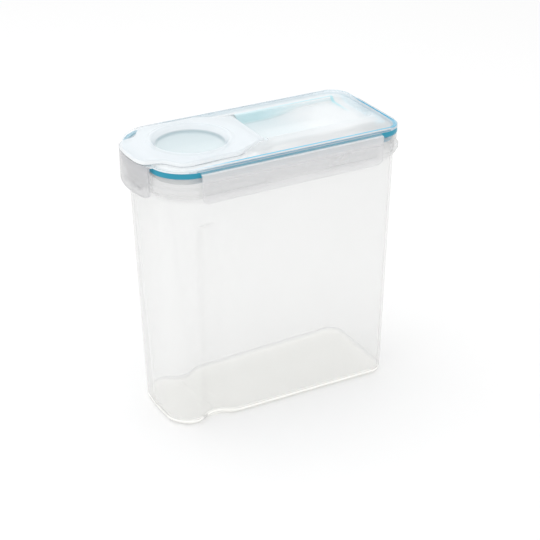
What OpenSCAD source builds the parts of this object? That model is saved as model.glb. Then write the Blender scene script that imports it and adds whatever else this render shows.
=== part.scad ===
// Dry food keeper with a flip spout and four locking flaps.
// The origin is on the table, under the middle of the whole object. +Z is up and the spout points along -X.

/* [Overall size] */
// Length over the front and rear locking flaps
overall_length = 243.4; // [225:0.2:262]
// Width over the two long locking flaps
overall_width = 121; // [112:0.5:132]
// Height of the closed cap's flat top above the table
overall_height = 258.3; // [190:0.1:320]

/* [Container] */
// Thickness of the container's moulded wall
wall = 1.8; // [1.4:0.1:2.2]
// Thickness of the container's floor
floor_thickness = 2; // [1.6:0.1:2.6]
// How much each long side leans in from rim to table
side_draft = 9; // [4:0.5:11]
// How much the front leans in from rim to table
front_draft = 5; // [2:0.5:7]
// How far the middle of the front wall bows out
front_bow = 4.1; // [2:0.1:5]
// Radius of the two front upright corners at the rim
front_corner = 28; // [22:1:31]
// Radius of the two rear upright corners
rear_corner = 15; // [11:1:20]
// Radius round the bottom edge
bottom_edge = 6; // [4:0.5:8]
// Depth of the finger groove in each long side
grip_depth = 7.5; // [4:0.5:8.5]
// Half the width of the finger groove at the table
grip_half_width = 22; // [16:1:24]
// How far the rim collar stands out from the wall
collar_step = 4.5; // [3.5:0.1:5]

/* [Lid] */
// Thickness of the lid's plate and raised skin
lid_skin = 1.8; // [1.4:0.1:2.2]
// Height of the raised rear section above the flange
raised_height = 4.3; // [3.8:0.1:5]
// Depth of the inner skirt below the flange
lid_skirt = 11; // [7:0.5:14]
// Clear radius of the round pouring hole
spout_radius = 33; // [28:0.5:34]

/* [Flip cap] */
// Half the width of the cap between its sides
cap_half_width = 42.8; // [41:0.2:44.6]
// Depth of the round dish pressed into the cap
dish_depth = 5; // [3.5:0.1:5.4]
// Radius of the two hinge pins
pin_radius = 1.6; // [1.3:0.1:1.8]

/* [Locking flaps] */
// Thickness of each locking flap
flap_thickness = 1.8; // [1.4:0.1:2.2]
// Height of each locking flap
flap_height = 25.8; // [22:0.2:30]
// Length of each long flap
long_flap = 172; // [140:1:176]
// Width of the front and rear flaps
end_flap = 58; // [44:1:64]

/* [Hidden] */
$fn = 72;
half_l = overall_length / 2;
half_w = overall_width / 2;

// Heights of the stack, from the cap down
cap_top = overall_height;
deck_top = cap_top - raised_height;
deck_under = deck_top - lid_skin;
gasket_height = 5;
rim_top = deck_under - gasket_height;
collar_low = rim_top - 20.2;
ledge_low = rim_top - 14.2;
ledge_height = 4;
collar_set = 1.9;

// The rim collar, the outline that the lid, gasket and flaps follow
rim_half = half_w - 4.2;
rim_front = -half_l + 13.1;
rim_rear = half_l - 3.8;
rim_bow = front_bow + 1.4;

// The wall just under the collar and at the table
wall_half = rim_half - collar_step;
wall_front = rim_front + collar_step - 1.4;
wall_rear = rim_rear - collar_step;
wall_top = collar_low;

// The finger grooves, low at the table and arched over near the rim
grip_x = wall_front + 43;
grip_arch = wall_top - 25;
grip_shoulder = grip_arch - 20;

// The lid's outline and its hinge lines for the long flaps
flange_set = 1;
gasket_set = flange_set + 0.4;
skirt_set = 5.05;
tab_drop = 2.5;
flap_top = deck_top - tab_drop;
hinge_inset = flap_thickness / 2;
flap_axis_z = flap_top - hinge_inset;
flap_gap = 0.1;
front_gap = 0.4;
flap_mid = 4.6;
flap_low = flap_top - flap_height;
flap_corner = 5;
end_bow = 75;

// The raised rear section and the basin in it
ridge_half = 29.6;
foot_half = rim_half - 6;
raised_rear = half_l - 14.2;
basin_half = 28.6;
basin_rear = half_l - 18;
basin_deep = 8.5;
basin_shallow = 4;

// The flip cap
dish_x = -half_l + 58.3;
dish_floor = 29.6;
dish_rim = 32.2;
cap_skin = 1.8;
cap_rear = -8.4;
pin_x = cap_rear - 3.1;
pin_z = cap_top - 4.1;
pin_fit = 0.05;
pin_end = 35;
barrel_radius = 2.5;
swing_radius = 6.6;
swing_half = 32.9;
skirt_low = deck_top + 1;
cap_gap = 0.8;
plug_radius = spout_radius - 2;
plug_low = deck_under - 2.1;
seal_radius = spout_radius - 0.6;
bead_height = 1.2;

// The lugs on the collar and the hooks on the flaps
lug_low = ledge_low - 1.5;
lug_proud = 1.2;
lug_root = 2.2;
long_lugs = [[-0.32 * long_flap, 56], [0.33 * long_flap, 51]];
end_lug = 34;
hook_gap = 0.3;
hook_height = 2.2;
hook_low = lug_low - 0.3 - hook_height;
hook_reach = flap_thickness + lug_proud + hook_gap;

// ---------- outlines ----------

// A corner arc with n steps, from angle a0 to a1
function arc(x, y, r, a0, a1, n) = [for (i = [0 : n])
    let (a = a0 + (a1 - a0) * i / n) [x + r * cos(a), y + r * sin(a)]];

// One quarter corner
function corner(x, y, r, a0, n) = arc(x, y, r, a0, a0 + 90, n);

// Half width at x along a side that tapers from front to rear and turns into the front corner
function side_half(x, f, b, hf, hb, r) = x < f + r
    ? hf - r + sqrt(max(0, r * r - pow(f + r - x, 2)))
    : hf + (hb - hf) * (x - f - r) / (b - f - r);

// How deep a groove is at u, where -1 and 1 are its edges
function bump(u) = abs(u) >= 1 ? 0 : (1 + cos(180 * u)) / 2;

// Points of one long side, near side first, with the finger groove in them
function side(f, b, hf, hb, rf, gx, gw, gd, m) = [for (i = [0 : m])
    let (u = -1 + 2 * i / m, x = gx + gw * u) [x, -side_half(x, f, b, hf, hb, rf) + gd * bump(u)]];

// Moves the front points out to a shallow bow
function bowed(points, f, r, hf, bow) =
    [for (p = points) p[0] < f + r + 0.01 ? [p[0] - bow * max(0, 1 - pow(p[1] / hf, 2)), p[1]] : p];

// Mirrors a run of points to the far side, in the order that keeps the loop going
function far(points) = [for (i = [len(points) - 1 : -1 : 0]) [points[i][0], -points[i][1]]];

// A closed outline: front corner up to the groove, side, rear corner, and the same on the far side
function keeper(f, b, hf, hb, rf, rb, bow, gx, gw, gd) =
    let (turn = 267 - asin(max(0, min(1, (f + rf - gx + gw) / rf))))
    let (near = concat(arc(f + rf, -hf + rf, rf, 180, turn, 5), side(f, b, hf, hb, rf, gx, gw, gd, 12),
        corner(b - rb, -hb + rb, rb, 270, 6)))
    let (front = [for (k = [1 : 5]) [f, (hf - rf) * (1 - k / 3)]])
    bowed(concat(near, far(near), front), f, rf, hf, bow);

// The lid's outline at a distance d outside the rim collar
function lid_outline(d) =
    let (near = concat(corner(rim_front - d + front_corner + d, -rim_half + front_corner, front_corner + d, 180, 9),
        corner(rim_rear - rear_corner - 5, -rim_half + rear_corner + 5, rear_corner + 5 + d, 270, 9)))
    let (front = [for (k = [1 : 7]) [rim_front - d, (rim_half - front_corner) * (1 - k / 4)]])
    bowed(concat(near, far(near), front), rim_front - d, front_corner + d, rim_half + d, rim_bow);

// A closed outline with square front corners, for the raised section and basin
function tray(f, b, h, r, n) =
    let (near = concat([[f, -h]], [for (k = [1 : 5]) [f + (b - r - f) * k / 6, -h]], corner(b - r, -h + r, r, 270, n)))
    concat(near, far(near));

// A smooth curve through the points, steps between each two
function curve(p, steps) = [for (i = [0 : len(p) - 2]) for (s = [0 : steps - 1])
    let (a = p[max(i - 1, 0)], b = p[i], c = p[i + 1], d = p[min(i + 2, len(p) - 1)], t = s / steps)
    (2 * b + (c - a) * t + (2 * a - 5 * b + 4 * c - d) * t * t + (3 * b - 3 * c + d - a) * t * t * t) / 2];

// Moves a closed outline out by d along its own normals
function grown(p, d) = [for (i = [0 : len(p) - 1])
    let (t = p[(i + 1) % len(p)] - p[(i + len(p) - 1) % len(p)], m = norm(t)) p[i] + d * [t[1], -t[0]] / m];

function at(points, z) = [for (p = points) [p[0], p[1], z]];

// ---------- solids from outlines ----------

// Two triangles from each pair of facing points of a ring that starts at point o
function strips(n, o) = [for (i = [0 : n / 2 - 2])
    each [[o + i, o + i + 1, o + n - 2 - i], [o + i, o + n - 2 - i, o + n - 1 - i]]];

// The same faces turned to look the other way
function turned(faces) = [for (f = faces) [f[2], f[1], f[0]]];

// A closed skin over rings that all have the same number of points.
// A ring whose points face each other across the middle may slope along X, and is closed with strips.
module loft(rings, facing = false) {
    n = len(rings[0]);
    last = n * (len(rings) - 1);
    skin = [for (k = [0 : len(rings) - 2]) for (i = [0 : n - 1])
        let (a = k * n + i, b = k * n + (i + 1) % n) each [[a, a + n, b + n], [a, b + n, b]]];
    ends = facing
        ? concat(strips(n, 0), turned(strips(n, last)))
        : [[for (i = [0 : n - 1]) i], [for (i = [n - 1 : -1 : 0]) last + i]];
    polyhedron(points = [for (r = rings) each r], faces = concat(skin, ends), convexity = 8);
}

// A straight-sided plate from an outline
module plate(points, z0, z1) {
    translate([0, 0, z0])
        linear_extrude(height = z1 - z0)
            polygon(points);
}

// A straight-sided ring between two outlines
module band(outer, inner, z0, z1) {
    translate([0, 0, z0])
        linear_extrude(height = z1 - z0)
            difference() {
                polygon(outer);
                polygon(inner);
            }
}

// ---------- container ----------

// How deep the finger groove is at height z
function grip_at(z) = z >= grip_arch ? 0
    : z <= grip_shoulder ? grip_depth
    : grip_depth * sqrt(max(0, 1 - pow((z - grip_shoulder) / (grip_arch - grip_shoulder), 2)));

// The container's outline at height z, moved in by d
function wall_at(z, d) =
    let (t = min(1, z / wall_top), lean = 1 - t, taper = 2.2 * lean)
    let (f = wall_front + front_draft * lean + d, b = wall_rear - d, h = wall_half - side_draft * lean - d)
    keeper(f, b, h - taper, h + taper, front_corner - 7 * lean - min(d, 6), rear_corner - min(d, 6), front_bow,
        grip_x - 12 * t, grip_half_width - 9 * t, grip_at(z) * max(0, 1 - max(0, d - wall) / 8));

// The collar's outline at height z, moved out by d from the wall
function collar_at(z, d) =
    let (s = d / collar_step)
    keeper(wall_front + (rim_front - wall_front) * s, wall_rear + d, wall_half + d, wall_half + d,
        front_corner + 2 * s, rear_corner + 5 * s, front_bow + (rim_bow - front_bow) * s,
        grip_x - 12, grip_half_width - 9, 0);

// A lug on the collar's ledge, centred at x, that a flap's hook catches under
module lug(x, length) {
    translate([x - length / 2, -rim_half - lug_proud, lug_low])
        cube([length, lug_proud + lug_root, ledge_low + ledge_height - lug_low]);
}

module container() {
    color([0.93, 0.94, 0.93]) {
        loft([
            at(wall_at(0, bottom_edge + 6.5), 1),
            at(wall_at(0, bottom_edge + 5.5), 0),
            at(wall_at(0, bottom_edge), 0),
            at(wall_at(0, bottom_edge * 0.5), bottom_edge * 0.134),
            at(wall_at(0, bottom_edge * 0.134), bottom_edge * 0.5),
            at(wall_at(bottom_edge, 0), bottom_edge),
            at(wall_at(wall_top * 0.4, 0), wall_top * 0.4),
            at(wall_at(grip_shoulder, 0), grip_shoulder),
            at(wall_at(grip_arch - 12, 0), grip_arch - 12),
            at(wall_at(grip_arch - 6, 0), grip_arch - 6),
            at(wall_at(grip_arch - 2, 0), grip_arch - 2),
            at(wall_at(grip_arch, 0), grip_arch),
            at(wall_at(wall_top, 0), wall_top),
            at(collar_at(0, collar_step * 0.55), collar_low + 2.6),
            at(collar_at(0, collar_step * 0.75), ledge_low - 0.8),
            at(collar_at(0, collar_step), ledge_low),
            at(collar_at(0, collar_step), ledge_low + ledge_height),
            at(collar_at(0, collar_step - collar_set), ledge_low + ledge_height + 0.7),
            at(collar_at(0, collar_step - collar_set), rim_top - 0.5),
            at(collar_at(0, collar_step - collar_set - 0.4), rim_top),
            at(collar_at(0, collar_step - collar_set - wall), rim_top),
            at(collar_at(0, collar_step - collar_set - wall), ledge_low + 0.6),
            at(collar_at(0, collar_step - collar_set - wall), ledge_low - 0.4),
            at(collar_at(0, collar_step * 0.5 - wall * 0.9), collar_low + 3.2),
            at(wall_at(wall_top, wall), wall_top + 1),
            at(wall_at(grip_arch, wall), grip_arch),
            at(wall_at(grip_arch - 2, wall), grip_arch - 2),
            at(wall_at(grip_arch - 6, wall), grip_arch - 6),
            at(wall_at(grip_arch - 12, wall), grip_arch - 12),
            at(wall_at(grip_shoulder, wall), grip_shoulder),
            at(wall_at(wall_top * 0.4, wall), wall_top * 0.4),
            at(wall_at(bottom_edge, wall), bottom_edge + 1),
            at(wall_at(bottom_edge, wall + 0.8), bottom_edge * 0.5 + 1),
            at(wall_at(bottom_edge, wall + bottom_edge * 0.6), 1 + floor_thickness),
        ]);
        for (side = [0, 1])
            mirror([0, side, 0]) {
                for (spot = long_lugs)
                    lug(flap_mid + spot[0], spot[1]);
            }
        intersection() {
            band(lid_outline(lug_proud), lid_outline(-lug_root), lug_low, ledge_low + ledge_height);
            translate([-half_l, -end_lug / 2, 0])
                cube([overall_length, end_lug, cap_top]);
        }
    }
}

// ---------- lid ----------

// Rings over the raised section, from its foot to its flat ridge
function raised_rings(d) = [
    at(tray(-37 + 2 * d, raised_rear + 5.1 - d, foot_half - d, 14, 8), deck_under - 0.01),
    at(tray(-37 + 2 * d, raised_rear + 5.1 - d, foot_half - d, 14, 8), deck_top - d * 0.7),
    at(tray(-35 + 2 * d, raised_rear + 4.1 - d, foot_half - 3.3 - d, 14, 8), deck_top + 1 - d * 0.9),
    at(tray(-32 + 2 * d, raised_rear + 2.5 - d, foot_half - 8 - d, 13, 8), deck_top + 2.4 - d),
    at(tray(-29 + 2 * d, raised_rear + 1 - d, ridge_half + 5.5 - d, 12, 8), deck_top + 3.6 - d),
    at(tray(-27 + 2 * d, raised_rear - d, ridge_half + 1 - d, 11, 8), cap_top - d),
];

// Height of the basin's floor at x: deep by the hinge, then a ramp up to a shallow end
function basin_floor(x) = cap_top - basin_deep
    + (basin_deep - basin_shallow) * min(1, max(0, (x - 22) / 41));

// A basin outline laid on that floor, moved down by d
function basin_ring(points, d, t) = [for (p = points) [p[0], p[1], cap_top - d - (cap_top - basin_floor(p[0])) * t]];

// The basin, grown by d all round and down
module basin(d) {
    loft([
        basin_ring(tray(pin_x - 5.8 - d, basin_rear - 1.8 + d, basin_half - 2.8 + d, 17, 8), d, 1),
        basin_ring(tray(pin_x - 5.8 - d, basin_rear - 0.4 + d, basin_half - 0.5 + d, 12.5, 8), d * 0.5, 0.25),
        at(tray(pin_x - 5.8 - d, basin_rear + d, basin_half + d, 11, 8), cap_top + (d > 0 ? -0.3 : 0)),
        at(tray(pin_x - 5.8 - d, basin_rear + d, basin_half + d, 11, 8), cap_top + (d > 0 ? -0.2 : 4)),
    ], facing = true);
}

// A hinge tab's section, from inside the flange at 0 out and down to the flap's hinge line
function tab_face(root, edge, reach) = [
    [root, deck_under], [root, deck_top], [edge, deck_top], [reach, flap_top], [reach, flap_top - lid_skin],
    [reach - 1, flap_top - lid_skin], [edge, deck_under - 0.4], [edge, deck_under]];

// The front tab's section: level with the deck, out to the front flap's hinge line
function front_tab_face(root, reach) = [
    [root, deck_under], [root, deck_top], [reach - 0.6, deck_top], [reach, deck_top - 0.6], [reach, deck_under]];

// A straight tab of the given section, out from the deck's long side
module straight_tab(width, face) {
    translate([-width / 2, 0, 0])
        rotate([90, 0, 90])
            linear_extrude(height = width)
                polygon([for (p = face) [-p[0], p[1]]]);
}

// The front flap's hinge line at y, bowed in plan, set in by d
function bow_x(y, d) = end_bow - half_l - sqrt(pow(end_bow - d, 2) - y * y);

// The front tab is bowed as the front flap is
module front_tab() {
    loft([for (k = [-6 : 6])
        let (y = -end_flap / 12 * k, edge = rim_front + flange_set + 0.1 - rim_bow * (1 - pow(y / rim_half, 2)))
        [for (p = front_tab_face(-edge - 3, -bow_x(y, flap_thickness + front_gap))) [-p[0], y, p[1]]]]);
}

// Where the cap lies in the lid: a pocket that clears the cap's skirt
module cap_pocket() {
    plate(grown(cap_outline, 1.2 + cap_gap), deck_top, cap_top + 4);
}

// The round trough that the cap's rear edge swings down into, grown by d
module swing_trough(d) {
    translate([pin_x, 0, pin_z])
        rotate([90, 0, 0])
            cylinder(r = swing_radius + d, h = 2 * (swing_half + d), center = true);
}

// What the raised section is hollow under: all but the basin, the trough, the pin bosses and the cap's place
module raised_void() {
    difference() {
        translate([0, 0, -0.02])
            loft(raised_rings(lid_skin), facing = true);
        basin(lid_skin);
        swing_trough(lid_skin);
        plate(grown(cap_outline, 1.2 + cap_gap + lid_skin), deck_under - 1, cap_top + 1);
        for (side = [-1, 1])
            translate([pin_x, side * (pin_end + lid_skin - 3.5), pin_z])
                rotate([90, 0, 0])
                    cylinder(r = pin_radius + lid_skin, h = 7, center = true);
    }
}

module lid() {
    color([0.9, 0.94, 0.95])
        difference() {
            union() {
                plate(lid_outline(-flange_set), deck_under, deck_top);
                band(lid_outline(-flange_set - 0.9), lid_outline(-flange_set - 2.6), deck_top - 0.5, deck_top + 0.7);
                band(lid_outline(-skirt_set), lid_outline(-skirt_set - lid_skin), deck_under - lid_skirt, deck_under + 0.5);
                difference() {
                    union() {
                        loft(raised_rings(0), facing = true);
                        basin(lid_skin);
                    }
                    cap_pocket();
                }
                intersection() {
                    union() {
                        swing_trough(lid_skin);
                        translate([pin_x, 0, pin_z])
                            rotate([90, 0, 0])
                                cylinder(r = pin_radius + lid_skin, h = 2 * (pin_end + lid_skin), center = true);
                    }
                    plate(lid_outline(-9), deck_under - 20, deck_top);
                }
                translate([dish_x, 0, deck_under - 3.6])
                    cylinder(r = spout_radius + lid_skin, h = lid_skin + 3.6);
                for (side = [0, 1])
                    mirror([0, side, 0])
                        translate([flap_mid, 0, 0])
                            straight_tab(long_flap, tab_face(rim_half - flange_set - 3, rim_half - flange_set - 0.1,
                                half_w - flap_thickness - flap_gap));
                rotate([0, 0, 90])
                    straight_tab(end_flap, tab_face(rim_rear - flange_set - 3, rim_rear - flange_set - 0.1,
                        half_l - flap_thickness - flap_gap));
                front_tab();
            }
            raised_void();
            basin(0);
            swing_trough(0);
            translate([dish_x, 0, deck_under - 10])
                cylinder(r = spout_radius, h = 30);
            translate([pin_x, 0, pin_z])
                rotate([90, 0, 0])
                    cylinder(r = pin_radius + pin_fit, h = 2 * (pin_end + 0.4), center = true);
        }
}

module lid_gasket() {
    color([0.3, 0.68, 0.82]) {
        band(lid_outline(-gasket_set), lid_outline(0.05 - skirt_set), rim_top + 2.4, deck_under);
        band(lid_outline(-gasket_set), lid_outline(-gasket_set - 2.8), rim_top, rim_top + 2.5);
    }
}

// ---------- flip cap ----------

// Half of the cap's plan, from the middle of the nose round to the hinge edge
cap_half = curve([
    [-half_l + 1.3, 0], [-half_l + 1.6, -8], [-half_l + 2.4, -15.5], [-half_l + 5.3, -22.7], [-half_l + 11.3, -25.4],
    [-half_l + 17, -26.6], [-half_l + 22, -30.6], [-half_l + 26, -36.6], [-half_l + 29.6, -cap_half_width + 1.9],
    [-half_l + 34.4, -cap_half_width - 0.7], [-half_l + 41, -cap_half_width - 1], [-half_l + 60, -cap_half_width],
    [-half_l + 76, -cap_half_width], [-40.5, -cap_half_width + 0.2], [-34, -40.3], [-27.5, -36.9], [-20.5, -33.2],
    [-14.5, -30.9], [-11, -30.4], [cap_rear, -28], [cap_rear, -22]], 3);
cap_outline = concat(cap_half, [[cap_rear, -22], [cap_rear, -8]], [[cap_rear, 8], [cap_rear, 22]],
    [for (i = [len(cap_half) - 1 : -1 : 1]) [cap_half[i][0], -cap_half[i][1]]]);

module flip_cap() {
    color([0.95, 0.97, 0.97])
        difference() {
            union() {
                loft([
                    at(grown(cap_outline, -1.8), cap_top - cap_skin),
                    at(grown(cap_outline, -0.4), skirt_low),
                    at(grown(cap_outline, 1.2), skirt_low),
                    at(grown(cap_outline, 0.4), cap_top - 1.2),
                    at(grown(cap_outline, 0), cap_top - 0.4),
                    at(grown(cap_outline, -0.8), cap_top),
                ]);
                translate([dish_x, 0, 0])
                    rotate_extrude()
                        polygon([[0, cap_top - dish_depth - cap_skin], [plug_radius - cap_skin, cap_top - dish_depth - cap_skin],
                            [plug_radius - cap_skin, plug_low], [plug_radius, plug_low], [plug_radius, skirt_low],
                            [dish_rim + 2, cap_top - 1], [0, cap_top - 1]]);
                translate([dish_x, 0, cap_top + bead_height - 2.6])
                    rotate_extrude()
                        translate([dish_rim + 2.2, 0])
                            circle(r = 2.6);
                intersection() {
                    translate([pin_x, 0, pin_z])
                        rotate([90, 0, 0])
                            cylinder(r = barrel_radius, h = 2 * 29.4, center = true);
                    plate(grown(cap_outline, 0.4), pin_z - barrel_radius - 1, cap_top);
                }
                translate([pin_x, 0, pin_z])
                    rotate([90, 0, 0])
                        cylinder(r = pin_radius, h = 2 * pin_end, center = true);
            }
            translate([dish_x, 0, 0])
                rotate_extrude()
                    polygon([[0, cap_top - dish_depth], [dish_floor, cap_top - dish_depth], [dish_rim, cap_top],
                        [dish_rim + 0.8, cap_top + 1.6], [0, cap_top + 1.6]]);
            translate([dish_x, 0, plug_low + 0.8])
                rotate_extrude()
                    translate([plug_radius - 0.6, 0])
                        square([2, 2.4]);
        }
}

module spout_seal() {
    color([0.3, 0.68, 0.82])
        translate([dish_x, 0, plug_low + 0.8])
            rotate_extrude()
                polygon([[plug_radius - 0.6, 0], [plug_radius, 0], [seal_radius, 0.9], [seal_radius, 1.5],
                    [plug_radius, 2.4], [plug_radius - 0.6, 2.4]]);
}

// ---------- locking flaps ----------

// A panel's face, square at the top and round at its two lower corners
function panel_face(width, low, high, r) = concat(
    [for (k = [0 : 6]) [-width / 2 + r - r * cos(15 * k), low + r - r * sin(15 * k)]],
    [for (k = [6 : -1 : 0]) [width / 2 - r + r * cos(15 * k), low + r - r * sin(15 * k)]],
    [[width / 2, high], [-width / 2, high]]);

// A straight flap, reach from the middle: panel, hinge roll along its top and a hook under each lug
module straight_flap(width, reach, hooks) {
    translate([0, -reach + flap_thickness, 0])
        rotate([90, 0, 0])
            linear_extrude(height = flap_thickness)
                polygon(panel_face(width, flap_low, flap_axis_z, flap_corner));
    translate([-width / 2, -reach + hinge_inset, flap_axis_z])
        rotate([0, 90, 0])
            cylinder(r = hinge_inset, h = width);
    for (hook = hooks)
        translate([hook[0] - hook[1] / 2, -reach + flap_thickness / 2, hook_low])
            cube([hook[1], hook[2] - hook_reach + flap_thickness / 2, hook_height]);
}

module long_flap_panel() {
    translate([flap_mid, 0, 0])
        straight_flap(long_flap, half_w, [for (spot = long_lugs) [spot[0], spot[1], half_w - rim_half]]);
}

// An end flap at the front: a panel bowed in plan with a hook under the lug
module end_flap_panel() {
    intersection() {
        difference() {
            translate([end_bow - half_l, 0, flap_low])
                cylinder(r = end_bow, h = deck_top - flap_low, $fn = 180);
            translate([end_bow - half_l, 0, flap_low - 1])
                cylinder(r = end_bow - flap_thickness, h = deck_top - flap_low + 2, $fn = 180);
        }
        translate([-half_l - 1, 0, 0])
            rotate([90, 0, 90])
                linear_extrude(height = 16)
                    polygon(panel_face(end_flap, flap_low, deck_top - 0.3, flap_corner));
    }
    intersection() {
        translate([-half_l + flap_thickness / 2, -end_lug / 2, hook_low])
            cube([rim_front + half_l, end_lug, hook_height]);
        difference() {
            translate([end_bow - half_l, 0, hook_low - 1])
                cylinder(r = end_bow - flap_thickness / 2, h = hook_height + 2, $fn = 180);
            plate(lid_outline(lug_proud + hook_gap), 0, cap_top);
        }
    }
}

module near_locking_flap() {
    color([0.87, 0.89, 0.89])
        long_flap_panel();
}

module far_locking_flap() {
    color([0.87, 0.89, 0.89])
        mirror([0, 1, 0])
            long_flap_panel();
}

module front_locking_flap() {
    color([0.87, 0.89, 0.89])
        end_flap_panel();
}

module rear_locking_flap() {
    color([0.87, 0.89, 0.89])
        rotate([0, 0, 90])
            straight_flap(end_flap, half_l, [[0, end_lug, half_l - rim_rear]]);
}

container();
lid();
lid_gasket();
flip_cap();
spout_seal();
near_locking_flap();
far_locking_flap();
front_locking_flap();
rear_locking_flap();
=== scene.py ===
"""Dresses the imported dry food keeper: container, lid, flip cap, seals and locking flaps.

Sizes are in millimetres in the classes and become metres when a mesh is made.
"""

import logging
import math
from dataclasses import dataclass
from enum import Enum
from typing import Sequence

import bmesh
import bpy
from mathutils import Matrix, Vector


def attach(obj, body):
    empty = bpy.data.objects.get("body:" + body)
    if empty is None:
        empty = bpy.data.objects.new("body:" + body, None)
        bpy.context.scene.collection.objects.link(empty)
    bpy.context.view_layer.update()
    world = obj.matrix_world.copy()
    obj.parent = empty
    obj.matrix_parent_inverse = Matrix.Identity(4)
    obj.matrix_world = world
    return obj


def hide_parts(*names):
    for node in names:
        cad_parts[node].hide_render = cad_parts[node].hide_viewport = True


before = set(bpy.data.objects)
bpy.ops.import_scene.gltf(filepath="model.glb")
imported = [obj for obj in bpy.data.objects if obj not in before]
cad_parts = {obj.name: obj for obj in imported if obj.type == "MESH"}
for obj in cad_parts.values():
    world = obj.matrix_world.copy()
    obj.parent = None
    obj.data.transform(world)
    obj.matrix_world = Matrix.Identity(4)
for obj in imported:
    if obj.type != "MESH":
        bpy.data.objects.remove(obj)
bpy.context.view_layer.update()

MM = 0.001
log = logging.getLogger("keeper")

Point = tuple[float, float]
Corner = tuple[float, float, float]
Ring = list[Corner]
Table = tuple[tuple[float, ...], ...]
Piece = bpy.types.Object
Finish = bpy.types.Material
Group = bpy.types.NodeTree
Socket = bpy.types.NodeSocket


class Slot(Enum):
    """The record's material slots."""

    CONTAINER = "container_plastic"
    LID = "lid_plastic"
    FLAP = "flap_plastic"
    SEAL = "seal_rubber"


class Join(Enum):
    """How one solid is worked into another."""

    ADD = "UNION"
    CUT = "DIFFERENCE"
    KEEP = "INTERSECT"


# ---------------------------------------------------------------- outlines


def arc(x: float, y: float, r: float, a0: float, a1: float, n: int) -> list[Point]:
    """Points of an arc.

    Args:
        x: centre along X.
        y: centre along Y.
        r: radius.
        a0: first angle in degrees.
        a1: last angle in degrees.
        n: number of steps.

    Returns:
        The n + 1 points.
    """
    angles = [math.radians(a0 + (a1 - a0) * i / n) for i in range(n + 1)]
    return [(x + r * math.cos(a), y + r * math.sin(a)) for a in angles]


def far_side(points: Sequence[Point]) -> list[Point]:
    """The same run of points mirrored to the far side, in the order that keeps the loop going."""
    return [(x, -y) for x, y in reversed(points)]


def level(points: Sequence[Point], z: float) -> Ring:
    """A ring at one height from an outline."""
    return [(x, y, z) for x, y in points]


def bowed(points: Sequence[Point], bow: float, half: float, corner_end: float) -> list[Point]:
    """An outline with its front pushed out in a bow.

    Args:
        points: the outline.
        bow: how far its middle goes out.
        half: the outline's half width.
        corner_end: where the front corners end along X.

    Returns:
        The bowed outline.
    """
    front = corner_end + 0.01
    return [(x - bow * max(0.0, 1 - (y / half) ** 2), y) if x < front else (x, y) for x, y in points]


def grown(points: Sequence[Point], d: float) -> list[Point]:
    """A closed outline moved out along its own normals.

    Args:
        points: the outline, anticlockwise.
        d: how far out, negative for in.

    Returns:
        The moved outline.
    """
    out: list[Point] = []
    for i, (x, y) in enumerate(points):
        (ax, ay), (bx, by) = points[i - 1], points[(i + 1) % len(points)]
        tx, ty = bx - ax, by - ay
        m = math.hypot(tx, ty) or 1.0
        out.append((x + d * ty / m, y - d * tx / m))
    return out


def smooth_curve(points: Sequence[Point], steps: int) -> list[Point]:
    """A smooth curve through the points.

    Args:
        points: the points to pass through.
        steps: steps between each two.

    Returns:
        The curve's points without the last one.
    """
    out: list[Point] = []
    last = len(points) - 1
    for i in range(last):
        a, b, c, d = (points[min(max(i + k, 0), last)] for k in (-1, 0, 1, 2))
        for t in (s / steps for s in range(steps)):
            out.append(tuple(
                (2 * b[k] + (c[k] - a[k]) * t + (2 * a[k] - 5 * b[k] + 4 * c[k] - d[k]) * t * t
                 + (3 * b[k] - 3 * c[k] + d[k] - a[k]) * t ** 3) / 2
                for k in (0, 1)
            ))
    return out


# ---------------------------------------------------------------- solids


def linked(bm: bmesh.types.BMesh, name: str) -> Piece:
    """Turns a finished bmesh into an object in the scene.

    Args:
        bm: the finished bmesh.
        name: the object's name.

    Returns:
        The new object.
    """
    mesh = bpy.data.meshes.new(name)
    bm.to_mesh(mesh)
    bm.free()
    piece = bpy.data.objects.new(name, mesh)
    bpy.context.scene.collection.objects.link(piece)
    return piece


def skin_mesh(name: str, rings: Sequence[Ring], facing: bool = False, looped: bool = False) -> Piece:
    """A closed skin over rings with the same number of points.

    Args:
        name: the object's name.
        rings: the rings in order.
        facing: whether each end is closed with strips across the middle.
        looped: whether the last ring joins the first, so that there are no ends.

    Returns:
        The new object, in metres.
    """
    n = len(rings[0])
    bm = bmesh.new()
    verts = [[bm.verts.new((x * MM, y * MM, z * MM)) for x, y, z in ring] for ring in rings]
    for low, high in zip(verts, verts[1:] + verts[:1] if looped else verts[1:]):
        for i in range(n):
            j = (i + 1) % n
            bm.faces.new((low[i], low[j], high[j], high[i]))
    for end in () if looped else (verts[0][::-1], verts[-1]):
        if not facing:
            bm.faces.new(end)
            continue
        for i in range(n // 2 - 1):
            bm.faces.new((end[i], end[i + 1], end[n - 2 - i], end[n - 1 - i]))
    bmesh.ops.recalc_face_normals(bm, faces=bm.faces)
    return linked(bm, name)


def slab(name: str, outline: Sequence[Point], z0: float, z1: float) -> Piece:
    """A straight-sided solid between two heights."""
    return skin_mesh(name, [level(outline, z0), level(outline, z1)])


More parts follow.
